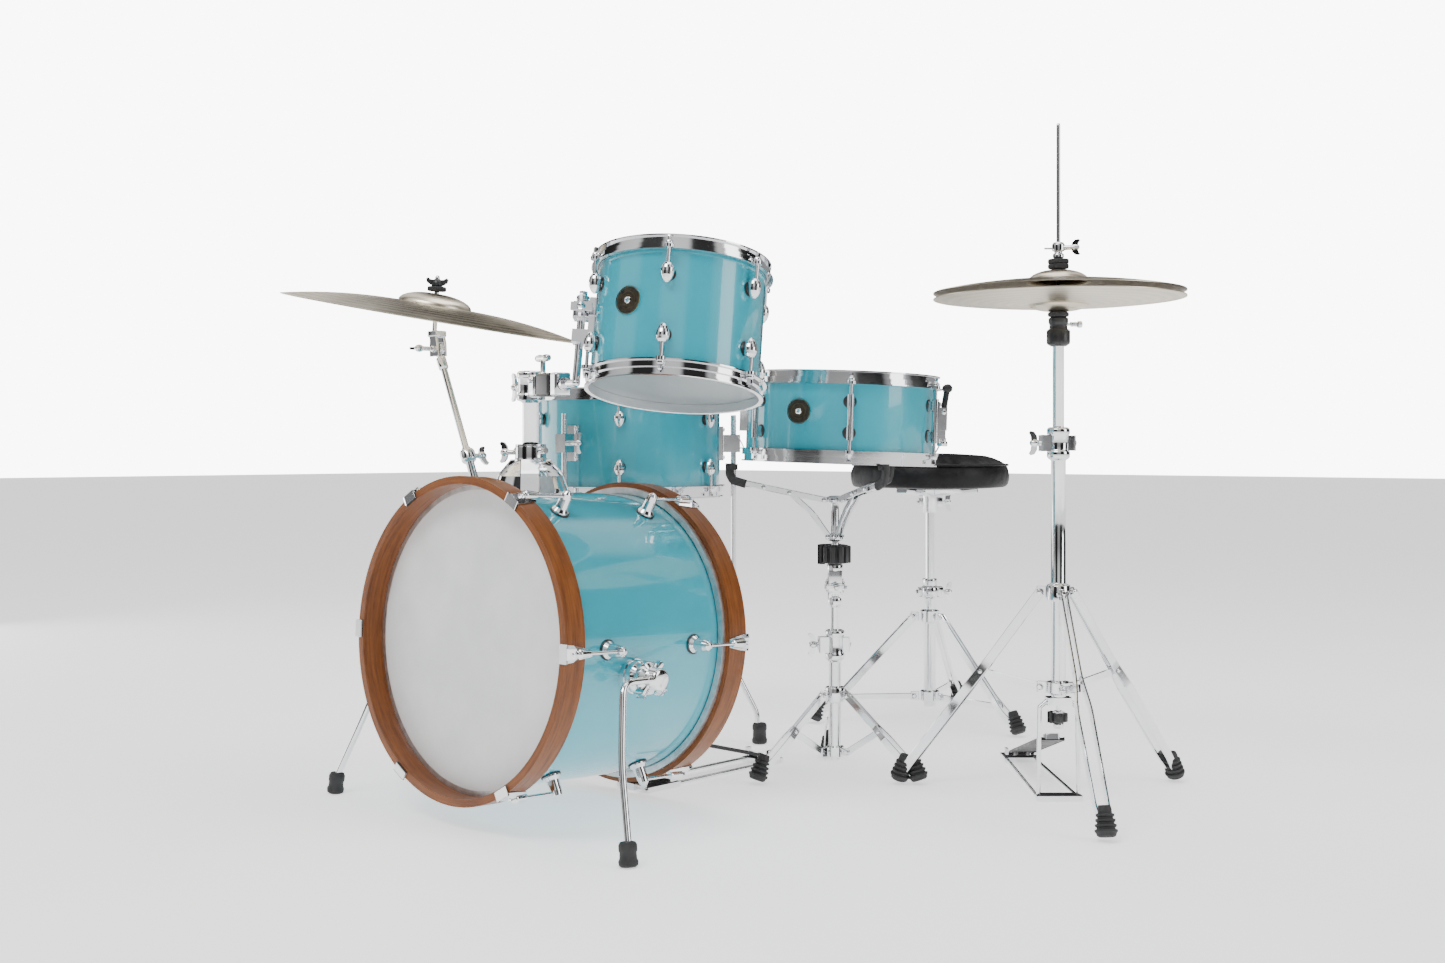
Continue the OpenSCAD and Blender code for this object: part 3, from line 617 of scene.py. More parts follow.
LEG_R = 5.2
for i in range(3):
    a = -79.4 + 120 * i
    foot = at(-317, 673) + polar(a, 177.8 + 27 + 51, 0.4)
    piece("floor_leg_tip_%d" % (i + 1), lambda bm: tip(bm, foot, UP, 14.5, 40), RUBBER, "kit", "chrome")
    top = at(-317, 673) + polar(a, 177.8 + 27, 638)
    course = [at(-317, 673) + polar(a, r, z) for r,
              z in ((204.8, 640), (204.8, 150), (250.8, 60), (254.6, 18))]
    piece("floor_leg_rod_%d" % (i + 1), lambda bm: add_tube(bm, course, LEG_R), CHROME, "kit", "chrome",
          ["floor_tom_legs"] if i == 0 else [])

    def leg_details(bm):
        add_turned(bm, [(5.4, -0.4), (5.4, 1.2), (4, 2.4)], top, UP, 24)
        for k in range(9):
            add_lathe(bm, [(5.0, 0), (5.75, 0.5), (5.75, 2.5), (5.0, 3)],
                      top - Vector((0, 0, 0.012 + 0.006 * k)), UP, 20)

    piece("floor_leg_knurl_%d" % (i + 1), leg_details, CHROME, "kit", "chrome")
    hub = at(-317, 673) + polar(a, 177.8 + 27, 585)
    tang = Vector((-math.sin(math.radians(a)), math.cos(math.radians(a)), 0))
    rad = polar(a, 1000)

    def leg_wing(bm):
        add_wing(bm, hub + tang * 0.030, tang, UP, 40, 20)
        for s in (-1, 1):
            for t in (-1, 1):
                add_turned(bm, [(4, 0), (4, 2.6), (2, 3.6)],
                         at(-317, 673, 585) + rad * (0.1778 + 0.0065) + tang * 0.012 * s + UP * 0.027 * t,
                         rad, 6)

    piece("floor_leg_wing_%d" % (i + 1), leg_wing, CHROME, "floor_tom", "chrome")


# ---- drum dressings: badges, gasket rings under the lugs, square rod heads ----
def drum_point(c, axis, zero, r, ang, h):
    """A place on a drum: angle measured as in the layout, height along the drum's own axis."""
    m = frame_of(axis, zero)
    return c + m @ (polar(ang, r, 0) + Vector((0, 0, h / 1000))), m @ polar(ang, 1000)


def badge_piece(prefix, c, axis, zero, r, ang, h, body):
    p, out = drum_point(c, axis, zero, r, ang, h)
    out = Vector(out).normalized()

    def disc(bm):
        add_lathe(bm, rounded([(4.5, 2.0), (6.5, 2.4), (19.8, 2.4), (19.8, 0.6)], 0.3), p, out, 56)

    def ringlet(bm):
        for ra, rb, z in ((20.2, 21.4, 3.0), (12.6, 13.4, 2.75), (7.2, 8.2, 2.8)):
            add_lathe(bm, [(ra, 1.6), (ra + 0.2, z), (rb - 0.2, z), (rb, 1.6)], p, out, 56)

    def grommet(bm):
        add_lathe(bm, [(2.6, 1.0), (2.6, 3.2), (3.4, 4.2), (4.6, 4.2), (5.4, 3.2), (5.4, 1.8)], p, out, 32)

    piece(prefix + "_badge_disc", disc, BADGE_DARK, body, "chrome")
    piece(prefix + "_badge_rings", ringlet, BRASS, body, "chrome")
    piece(prefix + "_vent", grommet, CHROME, body, "chrome")


X_TOM = Vector((math.cos(math.radians(-4.35)), 0, -math.sin(math.radians(-4.35))))
badge_piece("tom", TOM_C, TOM_AXIS, X_TOM, 127, -81, 8, "rack_tom")
badge_piece("floor_tom", FLOOR_C, UP, (1, 0, 0), 177.8, 190, 5, "floor_tom")
badge_piece("snare", SNARE_C, SNARE_AXIS, (1, 0, 0), 165, -76.5, 8, "snare")


def rod_heads(prefix, c, axis, zero, r, n, a0, half, body, seats):
    def build(bm):
        m = frame_of(axis, zero)
        for i in range(n):
            for s in (-1, 1):
                p, out = drum_point(c, axis, zero, r + 12.5, a0 + 360 / n * i, s * (half - 3.3))
                z = m @ Vector((0, 0, s))
                add_turned(bm, [(6.6, -0.1), (6.6, 0.9), (5.6, 1), (5.6, 4.6), (4.6, 5.6)], p, z, 28, by=0.4)
                add_block(bm, (5.2, 5.2, 8), p + z * 0.0095, frame_of(z, out), 0.7, 2)

    def pads(bm):
        for i in range(n):
            for s in (-1, 1):
                p, out = drum_point(c, axis, zero, r - 0.6, a0 + 360 / n * i, s * seats)
                add_lathe(bm, rounded([(4, 0), (11.2, 0.2), (11.2, 1.4), (8, 2.0), (4, 2.0)], 0.4), p,
                          out, 28)

    piece(prefix + "_rod_heads", build, CHROME, body, "chrome")
    if seats:
        piece(prefix + "_lug_pads", pads, PLASTIC, body, "chrome")


rod_heads("tom", TOM_C, TOM_AXIS, X_TOM, 127, 6, -54, 89, "rack_tom", 45)
rod_heads("floor_tom", FLOOR_C, UP, (1, 0, 0), 177.8, 6, -49.4, 89, "floor_tom", 45)
rod_heads("snare", SNARE_C, SNARE_AXIS, (1, 0, 0), 165, 6, -46.5, 63.5, "snare", 26)


# ---- turned stand tubes, replacing the plain CAD ones ----
def turned(name, profile, centre, body, slot, nodes, wings=(), material=None, extra=None, by=1.0):
    def build(bm):
        add_turned(bm, profile, at(*centre), UP, 48, by=by)
        for z, r, a in wings:
            d = polar(a, 1000)
            add_block(bm, (18, 20, 22), at(*centre, z) + d * (r + 2) / 1000, frame_of(UP, d), 2.5)
            add_wing(bm, at(*centre, z) + d * (r + 22) / 1000, d, UP, 40, 18)
            add_block(bm, (14, 12, 20), at(*centre, z) - d * (r + 1) / 1000, frame_of(UP, d), 2.5)
            add_turned(bm, [(5, 0), (5, 4), (3, 5)], at(*centre, z) - d * (r + 8) / 1000, -d, 6)
        if extra:
            extra(bm)
    return piece(name, build, material or CHROME, body, slot, nodes)


def pivot_ears(centre, r, z, angles, tall=15, deep=8):
    def build(bm):
        for a in angles:
            d = polar(a, 1000)
            t = Vector((-d.y, d.x, 0))
            add_block(bm, (deep + 6, 4.6, tall), at(*centre, z) + d * (r - deep / 2 + 1) / 1000,
                      frame_of(UP, d), 1.6)
            add_turned(bm, [(6.4, -2.3), (6.4, 2.3)], at(*centre, z) + d * r / 1000, t, 24, by=0.5)
    return build


def ears_pair(*builds):
    def build(bm):
        for b in builds:
            b(bm)
    return build


SN_A = (132.5, 252.5, 12.5)
turned("snare_base", [(11, 28), (11, 32), (16, 33), (16, 51), (11, 52), (11, 200), (15, 203), (17, 206),
                      (17, 214),
                      (15, 217), (15, 244), (17, 247), (17, 254), (14, 256), (9.4, 256)], SNARE_XY, "kit",
                      "chrome",
       ["snare_stand_base_tube"], [(230, 16, 225)], extra=pivot_ears(SNARE_XY, 24, 42, SN_A, 12))
turned("snare_collar", [(11.4, 128), (15, 128), (17, 130), (17, 154), (15, 156), (11.4, 156)], SNARE_XY,
       "kit", "chrome", ["snare_stand_collar"], extra=pivot_ears(SNARE_XY, 24, 142, SN_A, 13))
RT = Vector((math.cos(math.radians(42.5)), math.sin(math.radians(42.5)), 0))
FWD = Vector((-RT.y, RT.x, 0))


def tilter_base(bm):
    add_block(bm, (26, 15, 38), at(*SNARE_XY, 326), frame_of(UP, RT), 4)
    add_turned(bm, [(16, -7.8), (17, -6), (17, 6), (16, 7.8)], at(*SNARE_XY, 334), FWD, 40)
    for k in range(20):
        d = (RT * math.cos(k * math.pi / 10) + UP * math.sin(k * math.pi / 10))
        add_block(bm, (1.6, 15.8, 3), at(*SNARE_XY, 334) + d * 0.0168, frame_of(d, FWD.cross(d)), 0.4, 1)


turned("snare_upper", [(9.1, 60), (9.1, 296), (13, 300), (13, 312), (9, 316)], SNARE_XY, "stand_upper",
       "chrome",
       ["snare_stand_upper_tube"], extra=tilter_base)

HAT_A = (-45, 75, 195)
turned("hat_base", [(12, 169.3), (12, 174), (19, 176), (19, 194), (12, 196), (12, 326), (19, 328),
                    (19, 352), (12, 355),
                    (12, 556), (16, 558), (18.5, 561), (18.5, 570), (16, 573), (16, 596), (18.5, 599),
                    (18.5, 607),
                    (15, 610), (9.4, 610)], HAT, "kit", "chrome", ["hihat_base_tube"], [(584, 17, 225)],
       extra=ears_pair(pivot_ears(HAT, 30, 340, HAT_A), pivot_ears(HAT, 30, 184, HAT_A)))
turned("hat_upper", [(9.1, 400), (9.1, 742), (12, 744), (12, 750)], HAT, "hihat_upper", "chrome",
       ["hihat_upper_tube"])
turned("hat_seat", [(12.4, 742), (18.5, 746), (19, 749), (19, 768), (14.5, 771), (14.5, 778), (16, 780),
                    (16, 788),
                    (12, 790)], HAT, "hihat_upper", "chrome", [], material=PLASTIC)
turned("hat_seat_felt", [(4.6, 790), (15, 790.2), (17.2, 792), (17.2, 796.5), (15, 798.4), (4.6, 798.6)],
       HAT,
       "hihat_upper", "felt", [], material=FELT)


def spring_at(bm, a, b, radius, wire, turns):
    a, b = Vector(a), Vector(b)
    m = frame_of(b - a)
    n = int(turns * 20)
    pts = []
    for i in range(n + 1):
        t = i / n
        ang = turns * 2 * math.pi * t
        pts.append(a + (b - a) * t + m @ Vector((radius * math.cos(ang), radius * math.sin(ang), 0)) / 1000)
    side = None
    rings = []
    for i, p in enumerate(pts):
        d = (pts[min(i + 1, n)] - pts[max(i - 1, 0)]).normalized()
        side = d.orthogonal().normalized() if side is None else (side - d * side.dot(d)).normalized()
        up = d.cross(side)
        rings.append([bm.verts.new(p + (side * math.cos(t) + up * math.sin(t)) * wire / 1000)
                      for t in (2 * math.pi * k / 8 for k in range(8))])
    for u, v in zip(rings, rings[1:]):
        for i in range(8):
            j = (i + 1) % 8
            bm.faces.new((u[i], u[j], v[j], v[i]))
    bm.faces.new(rings[0])
    bm.faces.new(list(reversed(rings[-1])))


def seat_screw(bm):
    p = at(*HAT, 778)
    spring_at(bm, p + RT * 0.0195, p + RT * 0.031, 3.6, 0.7, 5)
    add_turned(bm, [(2.2, 8), (2.2, 31), (5.5, 31.5), (5.5, 38), (4, 39)], p, RT, 24, by=0.5)


piece("hat_seat_screw", seat_screw, CHROME, "hihat_upper", "chrome")


def clutch(bm):
    c = at(*HAT)
    add_lathe(bm, rounded([(3.4, 852), (6.4, 852), (6.4, 855), (5.4, 856), (5.4, 886), (9, 887), (9, 893),
                           (6.5, 894),
                           (6.5, 897), (10, 898), (10.5, 908), (8, 912), (3.4, 912)], 0.5), c, UP, 40,
                           closed=True)
    d = polar(20, 1000)
    add_block(bm, (46, 5, 3), at(*HAT, 902) + Vector((0, 0, 0)), frame_of(UP, RT), 1.2)
    add_wing(bm, at(*HAT, 903) + d * 0.026, d, UP, 26, 17, 4)


def clutch_felts(bm):
    c = at(*HAT)
    for lo, hi, r in ((869, 876.5, 17), (877, 884.6, 17)):
        add_lathe(bm, rounded([(5.8, lo), (r - 0.6, lo), (r, lo + 2), (r, hi - 2), (r - 0.6, hi),
                               (5.8, hi)], 0.8), c, UP,
                  40, closed=True)
    add_lathe(bm, rounded([(5.8, 856), (13, 856), (14, 858), (14, 862), (13, 864), (5.8, 864)], 0.8), c,
              UP, 40, closed=True)


piece("hat_clutch", clutch, CHROME, "hihat_top", "chrome", ["hihat_clutch"])
piece("hat_clutch_felts", clutch_felts, FELT, "hihat_top", "felt")


def pull_rod(bm):
    c = at(*HAT)
    add_turned(bm, [(3.2, 146), (3.2, 1102), (2.8, 1106), (1.6, 1107)], c, UP, 20, by=0.4)
    add_lathe(bm, rounded([(0, 118), (6, 118), (9, 121), (9, 126), (7, 128), (7, 134), (10, 137),
                           (10, 144), (6, 147),
                           (3.2, 147)], 0.6), c, UP, 32)


piece("hat_rod", pull_rod, CHROME, "hihat_rod", "chrome", ["hihat_rod"])


def knurl(bm):
    add_turned(bm, [(11, 128), (13, 130), (13, 142), (11, 144)], at(*HAT), UP, 32)
    for k in range(6):
        d = polar(k * 60, 1000)
        add_block(bm, (7, 8, 13), at(*HAT, 136) + d * 0.0125, frame_of(UP, d), 2)


piece("hat_rod_knob", knurl, PLASTIC, "hihat_rod", "black_metal")

TH_A = (110.1, 230.1, -9.9)
turned("throne_base", [(12.5, 31), (12.5, 42), (20, 43), (20, 63), (12.5, 64), (12.5, 207), (20, 209),
                       (20, 233),
                       (12.5, 235), (12.5, 258), (16, 261), (18.5, 264), (18.5, 281), (16, 284),
                       (10, 284)], THRONE_XY,
       "kit", "chrome", ["throne_base_tube"], [(272, 17, 45)],
       extra=ears_pair(pivot_ears(THRONE_XY, 35, 221, TH_A), pivot_ears(THRONE_XY, 35, 53, TH_A)))
turned("throne_post", [(9.8, 70), (9.8, 284.4), (15, 285), (15.5, 287), (15.5, 297), (15, 300),
                       (9.8, 300), (9.8, 452)],
       THRONE_XY, "throne_post", "chrome", ["throne_post"], by=0.5)


def hub_arms(bm):
    for k in range(3):
        d = polar(30 + 120 * k, 1000)
        add_ribbon(bm, [at(*THRONE_XY, 478) + d * 0.012, at(*THRONE_XY, 488) + d * 0.1], 9, 26,
                   d.cross(UP), 2)
    for k in range(6):
        d = polar(60 * k, 1000)
        add_turned(bm, [(5, -1), (5, 2), (3, 3.6)], at(*THRONE_XY, 482) + d * 0.056, -UP, 6)


turned("throne_hub", [(15, 440), (16.5, 442), (16.5, 478), (30, 481), (70, 482), (71, 484), (71, 491),
                      (0, 492)],
       THRONE_XY, "throne_seat", "chrome", ["throne_hub"], [(462, 15, 45)], extra=hub_arms)


# ---- snare basket ----
def basket_metal(bm):
    c = at(*SNARE_XY)
    add_block(bm, (24, 4.6, 38), at(*SNARE_XY, 342) + FWD * 0.0118, frame_of(UP, RT), 2)
    add_block(bm, (24, 4.6, 38), at(*SNARE_XY, 342) - FWD * 0.0118, frame_of(UP, RT), 2)
    add_wing(bm, at(*SNARE_XY, 334) - FWD * 0.034, -FWD, RT, 42, 20)
    add_turned(bm, [(12, 356), (14, 358), (14, 370), (11, 373), (8, 406), (7, 408), (7, 412), (13, 414),
                                  (13.5, 423), (7, 426), (7, 478), (15, 480), (16, 483), (16, 489),
                                  (8, 492)], c, UP, 40, by=0.7)
    for k in range(3):
        d = polar(-25 + 120 * k, 1000)
        t = Vector((-d.y, d.x, 0))
        for s in (-1, 1):
            add_ribbon(bm, [c + UP * 0.484 + d * 0.014 + t * 0.006 * s,
                            c + UP * 0.487 + d * 0.03 + t * 0.006 * s,
                            c + UP * 0.508 + d * 0.132 + t * 0.006 * s], 10, 2.4, t)
            add_ribbon(bm, [c + UP * 0.419 + d * 0.010 + t * 0.0045 * s,
                            c + UP * 0.462 + d * 0.04 + t * 0.0045 * s,
                            c + UP * 0.497 + d * 0.08 + t * 0.0045 * s], 9, 2.2, t)
        add_ribbon(bm, [c + UP * 0.5055 + d * 0.12, c + UP * 0.517 + d * 0.176, c + UP * 0.523 + d * 0.1855,
                        c + UP * 0.545 + d * 0.1855], 11, 5.5, t, 1.4)
        for rr, zz in ((0.019, 0.4845), (0.08, 0.497), (0.013, 0.4195), (0.126, 0.5065)):
            for s in (-1, 1):
                add_turned(bm, [(4.2, 0), (4.2, 2), (2.4, 3)], c + UP * zz + d * rr + t * s * 0.0068, t * s,
                         12)


def basket_rubber(bm):
    c = at(*SNARE_XY)
    for k in range(3):
        d = polar(-25 + 120 * k, 1000)
        t = Vector((-d.y, d.x, 0))
        add_ribbon(bm, [c + UP * 0.512 + d * 0.158, c + UP * 0.519 + d * 0.181, c + UP * 0.53 + d * 0.1868,
                        c + UP * 0.549 + d * 0.1868], 15, 10, t, 3)
        add_block(bm, (13, 17, 6.5), c + UP * 0.5425 + d * 0.182, frame_of(UP, d), 2)


def basket_nut(bm):
    c = at(*SNARE_XY)
    add_turned(bm, [(20, 373), (25, 374), (25, 404), (20, 406)], c, UP, 48, by=1.5)
    for k in range(12):
        d = polar(30 * k, 1000)
        add_block(bm, (6, 8.5, 30), c + UP * 0.389 + d * 0.0252, frame_of(UP, d), 2)


piece("basket", basket_metal, CHROME, "snare", "chrome", ["snare_basket"])
piece("basket_tips", basket_rubber, RUBBER, "snare", "black_metal")
piece("basket_nut", basket_nut, PLASTIC, "snare", "black_metal")

# ---- bass drum hardware ----
def bass_point(r, ang, h):
    """A place on the bass drum: 0 degrees is the player's left, height grows towards the player."""
    m = Matrix((Vector((1, 0, 0)), BASS_AXIS.cross(Vector((1, 0, 0))), BASS_AXIS)).transposed()
    return BASS_C + m @ (polar(ang, r, h)), (m @ polar(ang, 1000)).normalized()


def claw_metal(bm):
    for s in (-1, 1):
        for k in range(6):
            a = 60 * k
            z = BASS_AXIS * s
            p, out = bass_point(248.8, a, s * 191)
            tang = z.cross(out)
            wide = [(-39, 13), (-30, 17), (-14, 24), (2.4, 27)]
            for (z0, w0), (z1, w1) in zip(wide, wide[1:]):
                vs = []
                for zz, ww in ((z0, w0), (z1, w1)):
                    lift = 3.4 + 4.5 * max(0.0, 1 - abs(zz + 16) / 26)
                    for t, h in ((-0.5, 1.2), (-0.3, lift), (0.3, lift), (0.5, 1.2), (0.5, 0.2),
                                 (-0.5, 0.2)):
                        vs.append(bm.verts.new(p + z * zz / 1000 + tang * t * ww / 1000 + out * h / 1000))
                for i in range(6):
                    j = (i + 1) % 6
                    bm.faces.new((vs[i], vs[j], vs[6 + j], vs[6 + i]))
                if z0 == -39:
                    bm.faces.new(vs[:6])
                if z1 == 2.4:
                    bm.faces.new(list(reversed(vs[6:])))
            add_block(bm, (26, 2.4, 13), p + z * 0.0018 - out * 0.003, frame_of(out, tang), 0.8)
            add_turned(bm, [(5.8, -4), (6.4, -1), (7.6, 12), (8.6, 19), (6, 21)],
                     p + out * 0.0072 - z * 0.036, z, 28, by=0.8)
            rod_a = bass_point(256, a, s * 88)[0]
            add_lathe(bm, capped([(2.7, 0), (2.7, 84)]), rod_a, z, 16)
            add_turned(bm, [(4.5, 84), (5.6, 85), (5.6, 89), (3, 90)], rod_a, z, 20, by=0.5)
            add_block(bm, (5, 5, 7), rod_a + z * 0.0925, frame_of(z, out), 0.8, 2)


def claw_pads(bm):
    for s in (-1, 1):
        for k in range(6):
            z = BASS_AXIS * s
            p, out = bass_point(248.8, 60 * k, s * 191)
            tang = z.cross(out)
            add_block(bm, (26, 1.3, 15), p + z * 0.00045 - out * 0.0035, frame_of(out, tang), 0.4, 2)


piece("bass_claws", claw_metal, CHROME, "kit", "chrome", ["bass_claws"])
piece("bass_claw_pads", claw_pads, RUBBER, "kit", "black_metal")


def bass_lug_pads(bm):
    for s in (-1, 1):
        for k in range(6):
            p, out = bass_point(228.8, 60 * k, s * 91)
            add_lathe(bm, rounded([(9, -0.4), (15.4, -0.4), (15.6, 1.4), (12, 2.2), (9, 2.2)], 0.4), p,
                      out, 36)


piece("bass_lug_pads", bass_lug_pads, PLASTIC, "kit", "black_metal")

# ---- rack tom post ----
POST = Vector(JOINTS["tom_tilt"]["pos_m"])
ARM = Vector(JOINTS["tom_tilt"]["axis"]).normalized()
SIDE = UP.cross(ARM)


def dome(bm):
    c = at(0, 150)
    prof = [(63, 497), (63.5, 502), (60, 505), (57, 512), (51, 528), (43, 541), (33, 550), (25.5, 554),
            (25.5, 558),
            (24.5, 560), (24.5, 578), (22, 582), (13.2, 582)]
    add_lathe(bm, rounded(prof, 1.2), c, UP, 72)
    for k in range(3):
        d = polar(-42.5 + 120 * k, 1000)
        add_ribbon(bm, [c + UP * 0.507 + d * 0.06, c + UP * 0.5345 + d * 0.0492,
                        c + UP * 0.5565 + d * 0.027], 4, 30,
                   UP.cross(d), 1.4)
    for k in range(4):
        d = polar(45 + 90 * k, 1000)
        add_turned(bm, [(4.2, 0), (4.2, 2), (2.4, 3)], c + UP * 0.5025 + d * 0.0595, UP + d * 0.4, 12)
    d = polar(200, 1000)
    add_wing(bm, c + UP * 0.569 + d * 0.046, d, UP, 34, 22)


piece("tom_mount_dome", dome, CHROME, "kit", "chrome")


def post_metal(bm):
    c = at(0, 150)
    h = POST.z * 1000
    add_turned(bm, [(13, 470), (13, h - 26), (16, h - 24), (22, h - 22), (22, h - 14), (20, h - 12),
                                  (20, h + 12), (22, h + 14), (22, h + 21), (19, h + 24)], c, UP, 56, by=1)
    m = frame_of(ARM, SIDE)
    add_block(bm, (29, 34, 22), POST + ARM * 0.028, m, 4)
    add_block(bm, (27, 36, 20), POST + ARM * 0.100, m, 4)
    for s in (-1, 1):
        add_turned(bm, [(4.5, 0), (4.5, 3), (2.5, 4)], POST + ARM * 0.028 + SIDE * s * 0.0145 + UP * 0.008,
                 SIDE * s, 12)
    add_turned(bm, [(9, 12), (9, 40), (7, 42), (4.2, 43), (4.2, 60), (3, 61)], POST, -ARM, 28)
    add_wing(bm, POST - ARM * 0.056, -ARM, UP, 46, 16)
    t = POST + ARM * 0.042
    add_turned(bm, [(7, 15), (7, 19), (4.2, 20), (4.2, 40)], t, UP, 24)
    add_turned(bm, [(2.5, -20), (5, -19), (6, -10), (4.6, 0), (6, 10), (5, 19), (2.5, 20)], t + UP * 0.0425,
             ARM, 24, by=1)


def post_black(bm):
    m = frame_of(ARM, SIDE)
    add_block(bm, (30, 36, 44), POST + ARM * 0.066, m, 5)


piece("tom_post", post_metal, CHROME, "tom_post", "chrome", ["tom_post"])
piece("tom_post_clamp", post_black, PLASTIC, "tom_post", "black_metal")


def tom_bracket_details(bm):
    p, out = drum_point(TOM_C, TOM_AXIS, X_TOM, 127 + 18, -140, 17)
    out = out.normalized()
    tang = TOM_AXIS.cross(out)
    add_wing(bm, p + tang * 0.033, tang, TOM_AXIS, 36, 18)
    for s in (-1, 1):
        for t in (-1, 1):
            q = drum_point(TOM_C, TOM_AXIS, X_TOM, 127 + 8, -140, -2 + 33 * s)[0] + tang * 0.011 * t
            add_turned(bm, [(4.2, 0), (4.2, 2.4), (2.4, 3.2)], q, out, 12)
    add_lathe(bm, rounded([(6.4, 4), (9.5, 4), (10, 6), (10, 12), (6.4, 12)], 0.8),
              p + TOM_AXIS * 0.012 + out * 0.003, TOM_AXIS,
              32, closed=True)


piece("tom_bracket_trim", tom_bracket_details, CHROME, "rack_tom", "chrome")


# ---- crash stand dressings ----
TILT = Vector(JOINTS["crash_arm_tilt"]["pos_m"])
LOW = at(-116, 150, 470)
RUN = (TILT - LOW).normalized()


def crash_tubes(bm):
    add_turned(bm, [(7, 14), (7, 94), (11, 96), (12.5, 99), (12.5, 113), (11, 116), (7.4, 118), (7.4, 121),
                                  (5.6, 122), (5.6, (TILT - LOW).length * 1000 - 40),
                                  (8.4, (TILT - LOW).length * 1000 - 38),
                                  (8.4, (TILT - LOW).length * 1000 - 18),
                                  (4.5, (TILT - LOW).length * 1000 - 15),
                                  (4.5, (TILT - LOW).length * 1000 - 8)], LOW, RUN, 36, by=0.8)
    side = RUN.cross(UP).normalized()
    add_wing(bm, LOW + RUN * 0.1065 + side * 0.026, side, RUN, 34, 16)
    add_turned(bm, [(11, -4.4), (12, -3.4), (12, 3.4), (11, 4.4)], TILT, (0, 1, 0), 40, by=0.6)
    for k in range(18):
        d = frame_of((0, 1, 0)) @ polar(20 * k, 1000)
        add_block(bm, (1.5, 1.5, 8.6), TILT + d * 0.0118, frame_of((0, 1, 0), d), 0.3, 1)


piece("crash_arm", crash_tubes, CHROME, "crash_arm", "chrome", ["crash_arm"])


def crash_head(bm):
    for s in (-1, 1):
        add_ribbon(bm, [TILT + Vector((0, s * 0.0081, -0.012)), TILT + Vector((-0.001, s * 0.0081, 0.012)),
                        TILT + Vector((-0.004, s * 0.0081, 0.027))], lambda t: 22 - 4 * t, 5.6, (0, 1, 0),
                        1.4)
        add_turned(bm, [(6, 0), (6, 2.4), (3.5, 3.4)], TILT + Vector((0, s * 0.011, 0)), (0, s, 0), 6)
    add_block(bm, (25, 23, 11), TILT + Vector((-0.004, 0, 0.026)), None, 3)
    add_wing(bm, TILT + Vector((0, -0.040, 0)), (0, -1, 0), (1, 0, 0), 34, 22)
    stay = Vector((0.06, 0.025, 1)).normalized()
    hole = CRASH_C + Vector((0.171, 0.065, 0.983)) * 0.041
    add_turned(bm, [(4, -67), (4, 28), (3, 31), (1.5, 32)], hole, stay, 24, by=0.5)


piece("crash_tilter", crash_head, CHROME, "crash_tilter", "chrome", ["crash_tilter"])
STAY = Vector((0.06, 0.025, 1)).normalized()
HOLE = CRASH_C + Vector((0.171, 0.065, 0.983)) * 0.041


def crash_felts(bm):
    add_lathe(bm, rounded([(4.4, -15.8), (13.5, -15.8), (15, -14), (15, -6.5), (13.5, -4.8), (4.4, -4.8)],
                          0.8), HOLE, STAY,
              36, closed=True)
    add_lathe(bm, rounded([(4.4, 4.6), (14.5, 4.6), (16, 6), (16, 11), (14.5, 12.8), (4.4, 12.8)], 0.8),
              HOLE, STAY, 36,
              closed=True)


def crash_sleeve(bm):
    add_lathe(bm, rounded([(4.4, -24), (10, -24), (11, -22), (11, -18), (9, -16), (4.4, -16)], 0.6), HOLE,
              STAY, 32,
              closed=True)
    add_lathe(bm, rounded([(4.4, 13), (9, 13), (10, 15), (9, 22), (4.4, 23)], 0.6), HOLE, STAY, 32,
              closed=True)
    add_wing(bm, HOLE + STAY * 0.0185, STAY, RT, 38, 4, 8)


piece("crash_felts", crash_felts, FELT, "crash_tilter", "felt", ["crash_felts"])
piece("crash_wing_nut", crash_sleeve, PLASTIC, "crash_tilter", "black_metal")


# ---- pedals ----
def pedal(prefix, toe, heel, origin, ang, width, body, base_body, node):
    rad = polar(ang, 1000)
    lat = Vector((-rad.y, rad.x, 0))
    a = origin + rad * toe[0] / 1000 + UP * toe[1] / 1000
    b = origin + rad * (heel[0] - 6) / 1000 + UP * heel[1] / 1000
    run = (b - a).normalized()
    nrm = lat.cross(run)
    if nrm.z < 0:
        nrm = -nrm
    m = frame_of(nrm, run)

    def board(bm):
        add_ribbon(bm, [a, a.lerp(b, 0.3), a.lerp(b, 0.75), b], 4.4, width - 1, lat, 1.4)
        for i in range(13):
            f = 0.06 + 0.066 * i
            add_block(bm, (4.5, width * 0.74, 1.6), a + (b - a) * f + nrm * 0.0028, m, 0.7, 2)
        for s in (-1, 1):
            edge = lat * s * (width / 2 - 1.6) / 1000
            add_ribbon(bm, [a + edge, b + edge], 6, 2.4, lat)

    def rails(bm):
        add_tube(bm, [b + run * 0.006 - lat * 0.0275, b + run * 0.006 + lat * 0.0275], 3.1, 16)
        for s in (-1, 1):
            add_block(bm, (12, 4, 9), b - lat * s * 0.012 - run * 0.004, m, 1.5)
        add_block(bm, (16, 20, 6), a + run * 0.004 + nrm * 0.004, m, 1.8)

    piece(prefix + "_board", board, BLACK_METAL, body, "black_metal", [node])
    piece(prefix + "_board_hinge", rails, CHROME, body, "chrome")


pedal("kick", (402, 92), (697, 16), at(0, 0), 90, 40, "kick_footboard", "kit", "kick_footboard")
pedal("hat", (52, 91), (330, 18), at(*HAT), 132.5, 44, "hihat_footboard", "kit", "hihat_footboard")


def kick_heel(bm):
    for y, w, l in ((706, 63, 43), (413, 75, 77)):
        add_block(bm, (w, l, 2.2), at(0, y, 8.4), None, 0.9)
        for k in range(7):
            add_block(bm, (w * 0.7, 2.2, 1.0), at(0, y - l * 0.36 + l * 0.12 * k, 9.6), None, 0.4, 1)


piece("kick_base_tread", kick_heel, BLACK_METAL, "kit", "black_metal")


